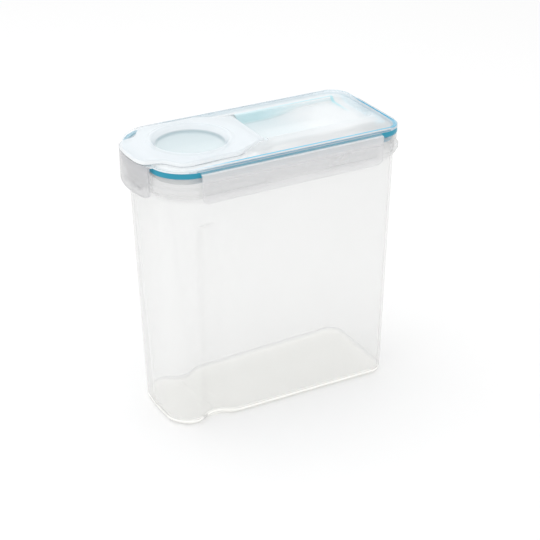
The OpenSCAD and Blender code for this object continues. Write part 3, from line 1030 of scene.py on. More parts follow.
@dataclass
class FlipCap:
    """The flip cap: nose, round dish, plug and hinge pins."""

    plan: KeeperPlan
    half: float = 42.8
    dish_depth: float = 5.0
    dish_floor: float = 29.6
    dish_rim: float = 32.2
    skin: float = 1.8
    rear: float = -8.4
    pin_set: float = 3.1
    pin_drop: float = 4.1
    pin_end: float = 35.0
    barrel: float = 2.5
    barrel_half: float = 29.4
    gap: float = 0.8
    bead: float = 1.2
    bead_width: float = 3.4
    bead_set: float = 2.2
    groove_set: float = 0.8
    groove_depth: float = 0.6
    lip: float = 0.45

    @property
    def pin(self) -> Point:
        """The hinge axis as (x, z)."""
        return (self.rear - self.pin_set, self.plan.height - self.pin_drop)

    @property
    def plug_low(self) -> float:
        """Height of the plug's lower edge."""
        return self.plan.deck_under - 2.1

    @property
    def plug_radius(self) -> float:
        """Radius of the plug."""
        return self.plan.spout_radius - 2

    @property
    def crest(self) -> float:
        """Radius at which the bead round the dish is highest."""
        return self.dish_rim + self.bead_set

    def outline(self) -> list[Point]:
        """The cap's plan, anticlockwise from the middle of the nose.

        Returns:
            The outline.
        """
        f, h, back = -self.plan.half_l, self.half, self.rear
        points = [
            (f + 1.3, 0), (f + 1.6, -8), (f + 2.4, -15.5), (f + 5.3, -22.7), (f + 11.3, -25.4), (f + 17, -26.6),
            (f + 22, -30.6), (f + 26, -36.6), (f + 29.6, -h + 1.9), (f + 34.4, -h - 0.7), (f + 41, -h - 1),
            (f + 60, -h), (f + 76, -h), (-40.5, -h + 0.2), (-34, -40.3), (-27.5, -36.9), (-20.5, -33.2),
            (-14.5, -30.9), (-11, -30.4), (back, -28), (back, -22),
        ]
        near = smooth_curve(points, 8)
        return near + [(back, y) for y in (-22, -15, -8, 0, 8, 15, 22)] + far_side(near[1:])

    def cover(self) -> Piece:
        """The cap's top with its turned-down lip.

        Returns:
            The solid that the rest of the cap is worked into.
        """
        top, low = self.plan.height, self.plan.deck + self.lip
        section = [
            (top - self.skin, -2.0), (top - self.skin - 0.4, -1.3), (low + 0.3, -0.35), (low, -0.15), (low, 0.9),
            (low + 0.25, 1.15), (low + 0.7, 1.15), (top - 1.5, 0.55), (top - 0.8, 0.25), (top - 0.35, -0.15),
            (top - 0.1, -0.65), (top, -1.3),
        ]
        plan = self.outline()
        return skin_mesh("flip_cap_shell", [level(grown(plan, d), z) for z, d in section])

    def plug(self) -> Piece:
        """The plug under the dish: a disc with a wall that hangs down from it.

        Returns:
            The solid.
        """
        r, low, top = self.plug_radius, self.plug_low, self.plan.height
        wall, under = r - self.skin, top - self.dish_depth - self.skin
        return turned("plug", [(0, under), (wall, under), (wall, low + 0.3), (wall + 0.3, low), (r - 0.5, low),
                               (r, low + 0.5), (r, self.plan.deck + self.lip), (self.dish_rim + 2, top - 1),
                               (0, top - 1)], self.plan.dish_x)

    def bead_ring(self) -> Piece:
        """The raised bead round the dish.

        Returns:
            The solid.
        """
        top, crest, wide = self.plan.height, self.crest, self.bead_width
        slope = [(crest + wide * (1 - k / 8), top - 0.02 + self.bead * (1 - math.cos(math.pi * k / 8)) / 2)
                 for k in range(9)]
        return turned("bead", [(crest - 2.4, top - 1.2), (crest + wide, top - 1.2)] + slope
                      + [(crest - 2.4, top + self.bead * 0.96)], self.plan.dish_x)

    def hinge(self) -> list[Piece]:
        """The hinge barrel, kept inside the cap's plan, and the pins.

        Returns:
            The barrel and the rod whose ends are the pins.
        """
        barrel = worked(crossing("barrel", self.pin, self.barrel_half, self.barrel), [
            slab("limit", grown(self.outline(), 0.4), self.pin[1] - self.barrel - 1, self.plan.height - 0.3)
        ], Join.KEEP)
        return [barrel, crossing("pin", self.pin, self.pin_end, self.plan.pin_radius)]

    def hollows(self) -> list[Piece]:
        """The dish, and the groove for the plug's seal.

        Returns:
            The dish and the groove.
        """
        r, low, top, x = self.plug_radius, self.plug_low, self.plan.height, self.plan.dish_x
        inner, under = r - self.groove_depth, low + self.groove_set
        floor, wide, rim = top - self.dish_depth, self.dish_floor, self.dish_rim
        dish = turned("dish", [(0, floor), (wide - 3, floor), (wide - 1.4, floor + 0.2), (wide - 0.3, floor + 0.8),
                               (wide + 0.5, floor + 1.9), (rim - 0.3, top - 0.6), (rim + 0.4, top + 0.35),
                               (rim + 1.2, top + self.bead * 0.86), (rim + 2.1, top + self.bead * 0.99),
                               (self.crest, top + 4), (0, top + 4)], x)
        groove = turned("groove", [(inner, under), (r + 1.4, under), (r + 1.4, low + 3.2), (inner, low + 3.2)], x)
        return [dish, groove]

    def build(self, material: Finish) -> Piece:
        """Makes the flip cap of a material.

        Args:
            material: its material.

        Returns:
            The piece.
        """
        cap = worked(self.cover(), [self.plug(), self.bead_ring(), *self.hinge()], Join.ADD)
        worked(cap, self.hollows(), Join.CUT)
        return settle(cap, "flip_cap_shell", "cap", "flip_cap", Slot.LID, material)


# ---------------------------------------------------------------- locking flaps


@dataclass
class LockingFlaps:
    """The four flaps that hang from the lid, with hooks that reach in below the collar's lugs."""

    plan: KeeperPlan
    corner: float = 5.0
    hook_height: float = 2.2
    hook_gap: float = 0.3
    rear_hook: float = 34.0
    face_ease: float = 0.55
    bow_ease: float = 0.5
    hook_ease: float = 0.4

    @property
    def hook_low(self) -> float:
        """Height of the hooks' lower faces."""
        return self.plan.ledge - (self.plan.lug_drop + self.hook_gap) - self.hook_height

    def face(self, width: float, high: float) -> list[Point]:
        """A flap's face as (across, up) points, with two round lower corners.

        Args:
            width: the flap's width.
            high: height of its upper edge.

        Returns:
            The outline.
        """
        r, low = self.corner, self.plan.flap_low
        angles = [math.radians(9 * k) for k in range(11)]
        left = [(-width / 2 + r - r * math.cos(a), low + r - r * math.sin(a)) for a in angles]
        return left + [(-x, z) for x, z in reversed(left)] + [(width / 2, high), (-width / 2, high)]

    def panel(self, width: float, reach: float, hooks: Sequence[Point], rim: float) -> Piece:
        """A straight flap on the near side.

        Args:
            width: its width.
            reach: how far its outer face lies from the middle.
            hooks: (middle, length) of each hook.
            rim: how far the collar behind it lies from the middle.

        Returns:
            The flap, centred on X.
        """
        p = self.plan
        axis, roll = p.flap_axis, p.flap_thickness / 2
        face = self.face(width, axis)
        flap = eased(skin_mesh("flap", [[(x, y, z) for x, z in face] for y in (-reach, -reach + p.flap_thickness)]),
                     self.face_ease, 4)
        parts = [rod("roll", (-width / 2, -reach + roll, axis), (width / 2, -reach + roll, axis), roll)]
        tip = -reach + (reach - rim) - p.lug_proud - self.hook_gap
        for x, size in hooks:
            parts.append(eased(block("hook", (x - size / 2, -reach + roll, self.hook_low),
                                     (x + size / 2, tip, self.hook_low + self.hook_height)), self.hook_ease))
        return worked(flap, parts, Join.ADD)

    def bowed_panel(self) -> Piece:
        """The front flap, bowed in plan, with one hook.

        Returns:
            The flap.
        """
        p = self.plan
        x, bow, span, low = p.front_radius - p.half_l, p.front_radius, p.end_lug_half, self.hook_low

        def drum(z0: float, z1: float, r: float, steps: int = 720) -> Piece:
            """A round solid about the bow's middle."""
            return rod("drum", (x, 0, z0), (x, 0, z1), r, steps)

        flap = worked(drum(p.flap_low - 1, p.deck + 1, bow - 0.02),
                      [drum(p.flap_low - 2, p.deck + 2, bow - p.flap_thickness)], Join.CUT)
        face = self.face(p.end_flap, p.deck - 0.3)
        rings = [[(depth, y, z) for y, z in face] for depth in (-p.half_l - 1, -p.half_l + 15)]
        eased(worked(flap, [skin_mesh("face", rings)], Join.KEEP), self.bow_ease)
        root = -p.half_l + 0.9
        hook = slab("hook", [(root, -span), (p.rim_front, -span), (p.rim_front, span), (root, span)], low,
                    low + self.hook_height)
        worked(hook, [drum(low - 1, low + 4, bow - p.flap_thickness / 2, 360)], Join.KEEP)
        worked(hook, [slab("clear", p.lid_outline(p.lug_proud + self.hook_gap), 0, p.height)], Join.CUT)
        return worked(flap, [hook], Join.ADD)

    def build(self, material: Finish, front_material: Finish) -> list[Piece]:
        """Makes the four flaps.

        Args:
            material: the near, far and rear flaps' material.
            front_material: the front flap's material, a darker copy of the flap plastic with painted shade.

        Returns:
            The four pieces.
        """
        p = self.plan
        near, far = (self.panel(p.long_flap, p.half_w, p.catches, p.rim_half) for _ in range(2))
        for flap, side in ((near, 1), (far, -1)):
            flap.data.transform(Matrix.Translation((p.flap_mid * MM, 0, 0)) @ Matrix.Diagonal((1, side, 1, 1)))
        far.data.flip_normals()
        front = self.bowed_panel()
        rear = self.panel(p.end_flap, p.half_l, [(0.0, self.rear_hook)], p.rim_rear)
        for vertex in rear.data.vertices:
            x, y, z = vertex.co
            vertex.co = (-y, x, z)
        flaps = (("near", near, material), ("far", far, material), ("front", front, front_material),
                 ("rear", rear, material))
        return [settle(flap, f"{side}_flap_panel", f"{side}_flap", f"{side}_locking_flap", Slot.FLAP, finish)
                for side, flap, finish in flaps]


# ---------------------------------------------------------------- effects


def rgba(colour: Corner, share: float = 1.0) -> tuple[float, ...]:
    """A colour's levels times a share, fully opaque."""
    return (*(share * value for value in colour), 1.0)


class Wiring:
    """Adds nodes to one node tree and wires them."""

    def __init__(self, tree: Group) -> None:
        """Starts on a node tree."""
        self.tree = tree

    def feed(self, node: bpy.types.Node, inputs: dict[str | int, object]) -> None:
        """Sets a node's inputs to values, or wires them to the sockets given.

        Args:
            node: the node.
            inputs: a value or a socket for each input, by its name or place.
        """
        for name, value in inputs.items():
            if isinstance(value, Socket):
                self.tree.links.new(value, node.inputs[name])
            else:
                node.inputs[name].default_value = value

    def add(self, kind: str, inputs: dict[str | int, object], operation: str = "", mixes: str = "") -> bpy.types.Node:
        """Adds a node.

        Args:
            kind: its type.
            inputs: the values or sockets for its inputs.
            operation: what a maths node does.
            mixes: the type of data that a mix node mixes.

        Returns:
            The node.
        """
        node = self.tree.nodes.new(kind)
        if operation:
            node.operation = operation
        if mixes:
            node.data_type = mixes
        self.feed(node, inputs)
        return node

    def place(self, effect: Group, inputs: dict[str | int, object]) -> bpy.types.Node:
        """Places a shared effect with its own values.

        Args:
            effect: the node group.
            inputs: the values or sockets for its inputs.

        Returns:
            The node.
        """
        node = self.tree.nodes.new("ShaderNodeGroup")
        node.node_tree = effect
        self.feed(node, inputs)
        return node

    def maths(self, operation: str, *terms: float | Socket) -> Socket:
        """The result of a maths node over its terms."""
        return self.add("ShaderNodeMath", dict(enumerate(terms)), operation).outputs[0]

    def mix(self, kind: str, factor: Socket, first: object, second: object) -> Socket:
        """The result of a mix from the first to the second by a factor."""
        return self.add("ShaderNodeMix", {"Factor": factor, "A": first, "B": second}, mixes=kind).outputs["Result"]

    def ramp(self, value: Socket, low: object, high: object, start: object = 0.0, end: object = 1.0) -> Socket:
        """A value's rise from start at low to end at high."""
        wires = {"Value": value, "From Min": low, "From Max": high, "To Min": start, "To Max": end}
        return self.add("ShaderNodeMapRange", wires).outputs["Result"]


class EffectGroup(Wiring):
    """A shader node group with named inputs and outputs."""

    def __init__(self, name: str, inputs: dict[str, object], outputs: dict[str, str]) -> None:
        """Makes the group with its sockets.

        Args:
            name: the group's name.
            inputs: the value that each input starts with.
            outputs: the kind of each output.
        """
        super().__init__(bpy.data.node_groups.new(name, "ShaderNodeTree"))
        for label, value in inputs.items():
            kind = "NodeSocketFloat" if isinstance(value, float) else "NodeSocketColor"
            socket = self.tree.interface.new_socket(name=label, in_out="INPUT", socket_type=kind)
            socket.default_value = value
        for label, kind in outputs.items():
            self.tree.interface.new_socket(name=label, in_out="OUTPUT", socket_type=kind)
        self.given = self.tree.nodes.new("NodeGroupInput").outputs
        spot = self.tree.nodes.new("ShaderNodeTexCoord").outputs
        self.spot, self.normal = spot["Object"], spot["Normal"]

    def split(self, vector: Socket) -> list[Socket]:
        """A vector's three parts."""
        return list(self.add("ShaderNodeSeparateXYZ", {"Vector": vector}).outputs)

    def done(self, results: dict[str | int, object]) -> Group:
        """Wires the results to the group's outputs and returns the group."""
        self.feed(self.tree.nodes.new("NodeGroupOutput"), results)
        return self.tree


def moulded_skin_group() -> Group:
    """The fine grain and slow waviness of moulded plastic.

    Returns:
        A group that puts out a normal and a roughness mask.
    """
    group = EffectGroup(
        "moulded_skin",
        {"Grain Scale": 900.0, "Grain Depth": 0.05, "Wave Scale": 22.0, "Wave Depth": 0.05, "Roughness Low": 0.3,
         "Roughness High": 0.45},
        {"Normal": "NodeSocketVector", "Roughness": "NodeSocketFloat"},
    )
    given = group.given
    grain, wave = (
        group.add("ShaderNodeTexNoise", {"Vector": group.spot, "Scale": given[scale], "Detail": detail}).outputs["Fac"]
        for scale, detail in (("Grain Scale", 3.0), ("Wave Scale", 1.5))
    )
    slow = group.add("ShaderNodeBump", {"Height": wave, "Strength": given["Wave Depth"], "Distance": 0.004})
    fine = group.add("ShaderNodeBump", {"Height": grain, "Strength": given["Grain Depth"], "Distance": 0.0002,
                                        "Normal": slow.outputs["Normal"]})
    rough = group.ramp(wave, 0.35, 0.65, given["Roughness Low"], given["Roughness High"])
    return group.done({"Normal": fine.outputs["Normal"], "Roughness": rough})


def haze_group() -> Group:
    """The cloudiness of clear plastic: a slow change of tint and of how much shows through.

    Returns:
        A group that puts out a colour and a cover mask.
    """
    group = EffectGroup(
        "plastic_haze",
        {"Tint": (0.9, 0.9, 0.9, 1.0), "Milk": (0.95, 0.95, 0.95, 1.0), "Scale": 9.0, "Cover Low": 0.3,
         "Cover High": 0.36},
        {"Color": "NodeSocketColor", "Cover": "NodeSocketFloat"},
    )
    given = group.given
    stretch = group.add("ShaderNodeMapping", {"Vector": group.spot, "Scale": (1.0, 1.0, 0.35)}).outputs["Vector"]
    cloud = group.add("ShaderNodeTexNoise", {"Vector": stretch, "Scale": given["Scale"], "Detail": 4.0}).outputs["Fac"]
    return group.done({
        "Color": group.mix("RGBA", cloud, given["Tint"], given["Milk"]),
        "Cover": group.ramp(cloud, 0.3, 0.7, given["Cover Low"], given["Cover High"]),
    })


def height_tint_group() -> Group:
    """A tint that comes in below one height of a piece, or above it.

    Returns:
        A group that puts out a colour and a mask.
    """
    group = EffectGroup(
        "height_tint",
        {"Color": (0.9, 0.9, 0.9, 1.0), "Tint": (0.8, 0.8, 0.8, 1.0), "Clear Height": 0.0, "Tint Height": 0.1},
        {"Color": "NodeSocketColor", "Mask": "NodeSocketFloat"},
    )
    given = group.given
    mask = group.ramp(group.split(group.spot)[2], given["Clear Height"], given["Tint Height"])
    return group.done({"Color": group.mix("RGBA", mask, given["Color"], given["Tint"]), "Mask": mask})


def upright_group() -> Group:
    """Where a piece's faces stand upright, as a flange's rim does.

    Returns:
        A group that puts out a mask.
    """
    group = EffectGroup("upright_faces", {"Full At": 0.25, "None At": 0.75}, {"Mask": "NodeSocketFloat"})
    slope = group.maths("ABSOLUTE", group.split(group.normal)[2])
    return group.done({"Mask": group.ramp(slope, group.given["Full At"], group.given["None At"], 1.0, 0.0)})


def wall_side_group() -> Group:
    """Whether a wall's seen side turns away from the piece's middle or towards it.

    Returns:
        A group that puts out a mask, full where the side turns away.
    """
    group = EffectGroup("wall_side", {"Blend": 0.004}, {"Mask": "NodeSocketFloat"})
    flat = group.add("ShaderNodeVectorMath", {0: group.spot, 1: (1.0, 1.0, 0.0)}, "MULTIPLY").outputs["Vector"]
    dot = group.add("ShaderNodeVectorMath", {0: flat, 1: group.normal}, "DOT_PRODUCT").outputs["Value"]
    return group.done({"Mask": group.ramp(dot, 0.0, group.given["Blend"])})


def edge_ring_group() -> Group:
    """A ring that keeps its distance from the lid's rounded edge, for what shows through the lid there and for painted
    highlight and shade lines along it.

    Returns:
        A group that puts out a mask.
    """
    group = EffectGroup(
        "edge_ring",
        {"Half Width": 0.0553, "Rear": 0.1169, "Radius": 0.016, "Inner": 0.005, "Outer": 0.003, "Soft": 0.0006,
         "Fades From": -0.2, "Whole From": -0.19, "Side None": -0.2, "Side Full": -0.19},
        {"Mask": "NodeSocketFloat"},
    )
    given, maths, radius = group.given, group.maths, group.given["Radius"]
    x, y, _ = group.split(group.spot)
    across = maths("SUBTRACT", maths("ABSOLUTE", y), maths("SUBTRACT", given["Half Width"], radius))
    along = maths("SUBTRACT", x, maths("SUBTRACT", given["Rear"], radius))
    squares = [maths("POWER", maths("MAXIMUM", part, 0.0), 2.0) for part in (across, along)]
    straight = maths("MINIMUM", maths("MAXIMUM", across, along), 0.0)
    depth = maths("SUBTRACT", radius, maths("ADD", maths("SQRT", maths("ADD", *squares)), straight))
    outer = group.ramp(depth, maths("SUBTRACT", given["Outer"], given["Soft"]), given["Outer"])
    inner = group.ramp(depth, maths("ADD", given["Inner"], given["Soft"]), given["Inner"])
    lengthwise = group.ramp(x, given["Fades From"], given["Whole From"])
    sideways = group.ramp(y, given["Side None"], given["Side Full"])
    return group.done({
        "Mask": maths("MULTIPLY", maths("MULTIPLY", outer, inner), maths("MULTIPLY", lengthwise, sideways)),
    })


@dataclass(frozen=True)
class Effects:
    """The node groups that the materials share."""

    skin: Group
    haze: Group
    height: Group
    upright: Group
    ring: Group
    side: Group

    @staticmethod
    def made() -> "Effects":
        """Makes the groups."""
        return Effects(moulded_skin_group(), haze_group(), height_tint_group(), upright_group(), edge_ring_group(),
                       wall_side_group())


# ---------------------------------------------------------------- finishes


@dataclass(frozen=True)
class EdgeRing:
    """A ring near the lid's edge: its colour and cover, where it runs (mm in from the edge), where it fades."""

    tint: Corner
    cover: float
    outer: float
    inner: float
    soft: float = 0.6
    lengthwise: Point = (-200.0, -190.0)
    sideways: Point = (-200.0, -190.0)

    def mask(self, paint: Wiring, effects: Effects) -> Socket:
        """Places the ring in a material.

        Args:
            paint: the material's wiring.
            effects: the shared node groups.

        Returns:
            The mask.
        """
        sizes = {"Inner": self.inner, "Outer": self.outer, "Soft": self.soft, "Fades From": self.lengthwise[0],
                 "Whole From": self.lengthwise[1], "Side None": self.sideways[0], "Side Full": self.sideways[1]}
        return paint.place(effects.ring, {label: size * MM for label, size in sizes.items()}).outputs["Mask"]


@dataclass(frozen=True)
class LevelTint:
    """A colour, and a cover, that come in from one height to another; no cover leaves the plastic's own."""

    tint: Corner = (0.9, 0.9, 0.9)
    heights: Point = (0.0, -1.0)
    cover: float = 0.0

    def place(self, paint: Wiring, effects: Effects, colour: Socket) -> tuple[Socket, Socket]:
        """Places the tint over a colour.

        Args:
            paint: the material's wiring.
            effects: the shared node groups.
            colour: the colour below the tint.

        Returns:
            The new colour and the mask.
        """
        node = paint.place(effects.height, {
            "Color": colour, "Tint": rgba(self.tint), "Clear Height": self.heights[0] * MM,
            "Tint Height": self.heights[1] * MM,
        })
        return node.outputs["Color"], node.outputs["Mask"]


@dataclass(frozen=True)
class StandingFoot(LevelTint):
    """The container's base with painted light and shade: a thick bright brim outside that carries a painted glow, a
    thin painted shade line inside, and a faint painted glow over the whole base.
    """

    painted_glow: float = 0.2
    base_light_share: float = 0.4
    brim_cover: float = 0.7
    crease_shade_tint: Corner = (0.7, 0.7, 0.71)


@dataclass(frozen=True)
class ClearPlastic:
    """A translucent moulded plastic: hazy where it faces you, denser along its edges and upright rims, with a painted
    white highlight on those rims, painted light and shade at its foot, and painted highlight and shade rings near the
    lid's edge.
    """

    name: str
    tint: Corner
    milk: Corner
    cover: Point
    edge_cover: float
    edge_tint: Corner
    roughness: Point
    depth: LevelTint = LevelTint()
    foot: StandingFoot | None = None
    rings: tuple[EdgeRing, ...] = ()
    # Painted highlight: upright faces turn towards a near-white tint and grow denser.
    rim_highlight_cover: float = 0.0
    rim_highlight_tint: Corner = (0.95, 0.97, 0.98)
    edge_power: float = 3.0
    wave: float = 0.01
    grain: float = 0.05
    coat: float = 0.0

    def make(self, effects: Effects) -> Finish:
        """Makes the material.

        Args:
            effects: the shared node groups.

        Returns:
            The material.
        """
        material = bpy.data.materials.new(self.name)
        material.use_nodes = True
        paint, shader = Wiring(material.node_tree), material.node_tree.nodes["Principled BSDF"]
        surface = paint.place(effects.skin, {
            "Grain Depth": self.grain, "Wave Depth": self.wave, "Roughness Low": self.roughness[0],
            "Roughness High": self.roughness[1],
        })
        cloud = paint.place(effects.haze, {
            "Tint": rgba(self.tint), "Milk": rgba(self.milk), "Cover Low": self.cover[0],
            "Cover High": self.cover[1],
        })
        colour, cover = cloud.outputs["Color"], cloud.outputs["Cover"]
        steps: list[tuple[Socket, Corner | None, float]] = []
        rim = paint.place(effects.upright, {}).outputs["Mask"]
        # Height tints, among them painted light on the container's base and painted shade on the front flap.
        for tint in filter(None, (self.depth, self.foot)):
            colour, low = tint.place(paint, effects, colour)
            steps.append((low, None, tint.cover))
        # Painted highlight on upright faces.
        if self.rim_highlight_cover:
            steps.append((rim, self.rim_highlight_tint, self.rim_highlight_cover))
        # Rings near the lid's edge, among them a painted highlight line and a painted shade band.
        steps += [(ring.mask(paint, effects), ring.tint, ring.cover) for ring in self.rings]
        facing = paint.add("ShaderNodeLayerWeight", {"Blend": 0.5}).outputs["Facing"]
        steps.append((paint.maths("POWER", facing, self.edge_power), self.edge_tint, self.edge_cover))
        for mask, tint, full in steps:
            if tint:
                colour = paint.mix("RGBA", mask, colour, rgba(tint))
            if full:
                cover = paint.mix("FLOAT", mask, cover, full)
        if self.foot:
            # Painted light and shade on the base's upright faces: the outer side's brim is denser and glows, the inner
            # side gets a painted shade line.
            side = paint.place(effects.side, {}).outputs["Mask"]
            wall = paint.maths("MULTIPLY", low, rim)
            brim = paint.maths("MULTIPLY", wall, side)
            crease = paint.maths("MULTIPLY", wall, paint.maths("SUBTRACT", 1.0, side))
            colour = paint.mix("RGBA", crease, colour, rgba(self.foot.crease_shade_tint))
            cover = paint.mix("FLOAT", brim, cover, self.foot.brim_cover)
            # A faint painted glow over the base below the foot height, full on the outer brim.
            lit = paint.mix("RGBA", low, rgba(self.foot.tint, 0.0), rgba(self.foot.tint, self.foot.base_light_share))
            paint.feed(shader, {"Emission Color": paint.mix("RGBA", brim, lit, rgba(self.foot.tint)),
                                "Emission Strength": self.foot.painted_glow})
        paint.feed(shader, {"Base Color": colour, "Alpha": cover, "Normal": surface.outputs["Normal"],
                            "Roughness": surface.outputs["Roughness"], "IOR": 1.49, "Coat Weight": self.coat})
        return material


@dataclass(frozen=True)
class SealRubber:
    """Blue-green silicone with a satin skin and a painted glow that lifts its shaded parts."""

    name: str = "seal_silicone"
    deep: Corner = (0.02, 0.22, 0.33)
    pale: Corner = (0.025, 0.26, 0.37)
    painted_light_tint: Corner = (0.02, 0.32, 0.44)
    painted_glow: float = 0.22

    def make(self, effects: Effects) -> Finish:
        """Makes the material.

        Args:
            effects: the shared node groups.

        Returns:
            The material.
        """
        material = bpy.data.materials.new(self.name)
        material.use_nodes = True
        paint = Wiring(material.node_tree)
        surface = paint.place(effects.skin, {
            "Grain Scale": 1400.0, "Grain Depth": 0.12, "Roughness Low": 0.38, "Roughness High": 0.52,
        })
        cloud = paint.place(effects.haze, {"Tint": rgba(self.deep), "Milk": rgba(self.pale), "Scale": 30.0})
        # The emission is a painted glow, not a lamp, that lightens the seal and most of all its shaded parts.
        paint.feed(material.node_tree.nodes["Principled BSDF"], {
            "Base Color": cloud.outputs["Color"], "Normal": surface.outputs["Normal"],
            "Roughness": surface.outputs["Roughness"], "IOR": 1.42, "Emission Color": rgba(self.painted_light_tint),
            "Emission Strength": self.painted_glow,
        })
        return material


# ---------------------------------------------------------------- studio


@dataclass
class Studio:
    """A plain pale floor, soft light and the camera.

    Each lamp is (name, place, size, power), in metres and watts.
    """

    eye: Corner = (-505.06, -937.64, 683.12)
    aim: Corner = (12.9, 0.0, 114.4)
    focal: float = 88.81
    floor_size: float = 12.0
    floor_level: float = 0.8
    floor_lift: float = 0.1
    light_aim: Corner = (0.0, 0.0, 0.13)
    lamps: tuple[tuple[str, Corner, float, float], ...] = (
        ("soft_top", (-0.3, 0.2, 1.7), 1.4, 7.0),
        ("soft_left", (-1.5, -0.9, 0.9), 1.2, 1.2),
    )

    def stand(self, name: str, data: bpy.types.ID, eye: Vector, aim: Vector) -> Piece:
        """Stands a lamp or camera and turns it.

        Args:
            name: the object's name.
            data: the lamp or camera.
            eye: where it stands.
            aim: the point it is turned to.

        Returns:
            The new object.
        """
        holder = bpy.data.objects.new(name, data)
        holder.location = eye
        holder.rotation_euler = (aim - eye).to_track_quat("-Z", "Y").to_euler()
        bpy.context.scene.collection.objects.link(holder)
        return holder

    def build_floor(self) -> None:
        """Makes the floor, white to the camera and with the object's shadow on it."""
        bm = bmesh.new()
        bmesh.ops.create_grid(bm, x_segments=2, y_segments=2, size=self.floor_size / 2)
        floor = linked(bm, "floor")
        material = bpy.data.materials.new("floor_paper")
        material.use_nodes = True
        paint = Wiring(material.node_tree)
        seen = paint.add("ShaderNodeLightPath", {}).outputs["Is Camera Ray"]
        paint.feed(material.node_tree.nodes["Principled BSDF"], {
            "Base Color": rgba((1.0, 1.0, 1.0), self.floor_level), "Roughness": 0.9, "Specular IOR Level": 0.0,
            "Emission Color": rgba((1.0, 1.0, 1.0)),
            "Emission Strength": paint.maths("MULTIPLY", seen, self.floor_lift),
        })
        floor.data.materials.append(material)

    def build_light(self) -> None:
        """Makes the white world and the soft lamps."""
        world = bpy.data.worlds.new("studio")
        bpy.context.scene.world = world
        world.use_nodes = True
        tree = world.node_tree
        Wiring(tree).feed(tree.nodes["Background"], {"Color": rgba((1.0, 1.0, 1.0)), "Strength": 1.0})
        for name, place, size, power in self.lamps:
            lamp = bpy.data.lights.new(name, "AREA")
            lamp.size, lamp.energy = size, power
            self.stand(name, lamp, Vector(place), Vector(self.light_aim)).visible_glossy = False

    def build_camera(self) -> None:
        """Makes the camera."""
        scene = bpy.context.scene
        camera = bpy.data.cameras.new("camera")
        camera.lens, camera.sensor_width, camera.clip_end = self.focal, 36.0, 50.0
        scene.camera = self.stand("camera", camera, Vector(self.eye) * MM, Vector(self.aim) * MM)
        scene.view_settings.view_transform = "Standard"
        scene.cycles.transparent_max_bounces = 32

    def build(self) -> None:
        """Makes the whole studio."""
        self.build_camera()
        self.build_floor()
        self.build_light()


def edge_rings() -> tuple[EdgeRing, ...]:
    """The rings near the lid's edge, from the outside in and from the near side to the far one: tints for what shows
    through the lid, a painted highlight line along the flange's edge and a painted shade band on the raised section's
    near slope.

    Returns:
        The rings.
    """
    return (
        EdgeRing((0.9, 0.93, 0.95), 0.1, -2.6, 0.2, 0.3, sideways=(-20.0, -30.0)),
        EdgeRing((0.78, 0.83, 0.87), 0.5, -7.0, -0.2, 0.3, sideways=(20.0, 30.0)),
        # Painted highlight: a white line along the flange's outer edge.
        EdgeRing((0.95, 0.97, 0.99), 0.5, 0.6, 1.6, 0.3),
        EdgeRing((0.02, 0.42, 0.64), 0.8, 2.0, 5.2, 0.4, (-95.0, -50.0), (50.0, 15.0)),
        EdgeRing((0.76, 0.89, 0.95), 0.36, 2.0, 5.2, 0.4, (-80.0, -60.0), (10.0, 45.0)),
        # Painted shade: a grey band on the raised section's near slope.
        EdgeRing((0.68, 0.7, 0.71), 0.5, 7.0, 16.0, 2.0, (-60.0, 20.0), (15.0, 0.0)),
        EdgeRing((0.4, 0.76, 0.83), 0.55, 24.0, 26.0, 0.8, (108.0, 96.0), (-5.0, 15.0)),
        EdgeRing((0.6, 0.87, 0.92), 0.45, 25.0, 29.0, 1.5, (62.0, 15.0), (-5.0, 15.0)),
        EdgeRing((0.8, 0.92, 0.97), 0.4, 13.0, 16.5, 1.5, (92.0, 99.0)),
        EdgeRing((0.9, 0.93, 0.95), 0.06, -50.0, 50.0, 0.6, (-86.0, -92.0), (22.0, 26.0)),
    )


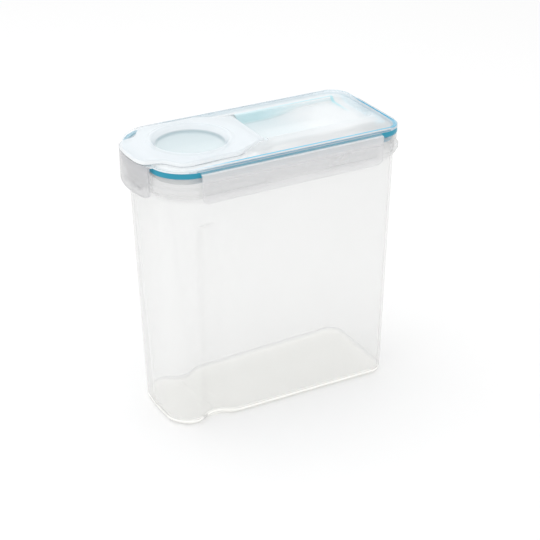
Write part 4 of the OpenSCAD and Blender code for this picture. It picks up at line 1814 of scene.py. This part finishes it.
def main() -> None:
    """Builds and dresses every piece in order."""
    logging.basicConfig(level=logging.INFO, format="%(name)s: %(message)s")
    Studio().build()
    effects = Effects.made()
    milk_edge, flap_edge = (0.8, 0.86, 0.9), (0.5, 0.5, 0.51)
    frosted = ClearPlastic(
        "container_frosted", (0.89, 0.89, 0.885), (0.92, 0.92, 0.915), (0.2, 0.21), 0.75, (0.62, 0.62, 0.6),
        (0.36, 0.4), LevelTint((0.68, 0.68, 0.68), (222.0, 229.0), 0.3),
        # Painted light on the base: lighter, cream and denser below 6.8 mm, with a glowing brim and a painted shade
        # line.
        StandingFoot((0.98, 0.975, 0.94), (6.8, 5.9), 0.46), edge_power=6.0,
    ).make(effects)
    milky = ClearPlastic(
        "lid_milky", (0.92, 0.945, 0.96), (0.94, 0.96, 0.97), (0.36, 0.37), 0.8, milk_edge, (0.2, 0.23),
        # Upright faces get a painted white highlight; the edge rings add a painted highlight line and a painted shade
        # band.
        LevelTint((0.72, 0.84, 0.88), (254.0, 248.0)), rings=edge_rings(), rim_highlight_cover=0.8, coat=0.15,
    ).make(effects)
    cap_milky = ClearPlastic(
        "cap_milky", (0.875, 0.92, 0.955), (0.9, 0.94, 0.965), (0.58, 0.59), 0.85, milk_edge, (0.2, 0.23),
        # Upright faces, the cap's edge band among them, get a painted white highlight.
        LevelTint((0.66, 0.78, 0.81), (255.0, 253.6), 0.45), rim_highlight_cover=0.9, coat=0.15,
    ).make(effects)
    clear = ClearPlastic(
        "flap_clear", (0.8, 0.8, 0.81), (0.82, 0.82, 0.83), (0.28, 0.29), 0.9, flap_edge, (0.24, 0.28),
        LevelTint((0.84, 0.84, 0.85), (243.0, 247.0), 0.6), coat=0.15,
    ).make(effects)
    # A darker copy of the flap plastic for the front flap: painted shade, darker still towards its top.
    shaded = ClearPlastic(
        "flap_clear_painted_shade", (0.68, 0.68, 0.69), (0.7, 0.7, 0.71), (0.33, 0.34), 0.9, flap_edge, (0.24, 0.28),
        LevelTint((0.66, 0.66, 0.68), (240.0, 248.0), 0.6), coat=0.15,
    ).make(effects)
    rubber = SealRubber().make(effects)
    plan = KeeperPlan()
    cap = FlipCap(plan)
    Container(plan).build(frosted)
    Lid(plan, cap).build(milky)
    seals = Seals(plan, cap)
    seals.build_lid_ring(rubber)
    cap.build(cap_milky)
    seals.build_plug_ring(rubber)
    LockingFlaps(plan).build(clear, shaded)


if __name__ == "__main__":
    main()
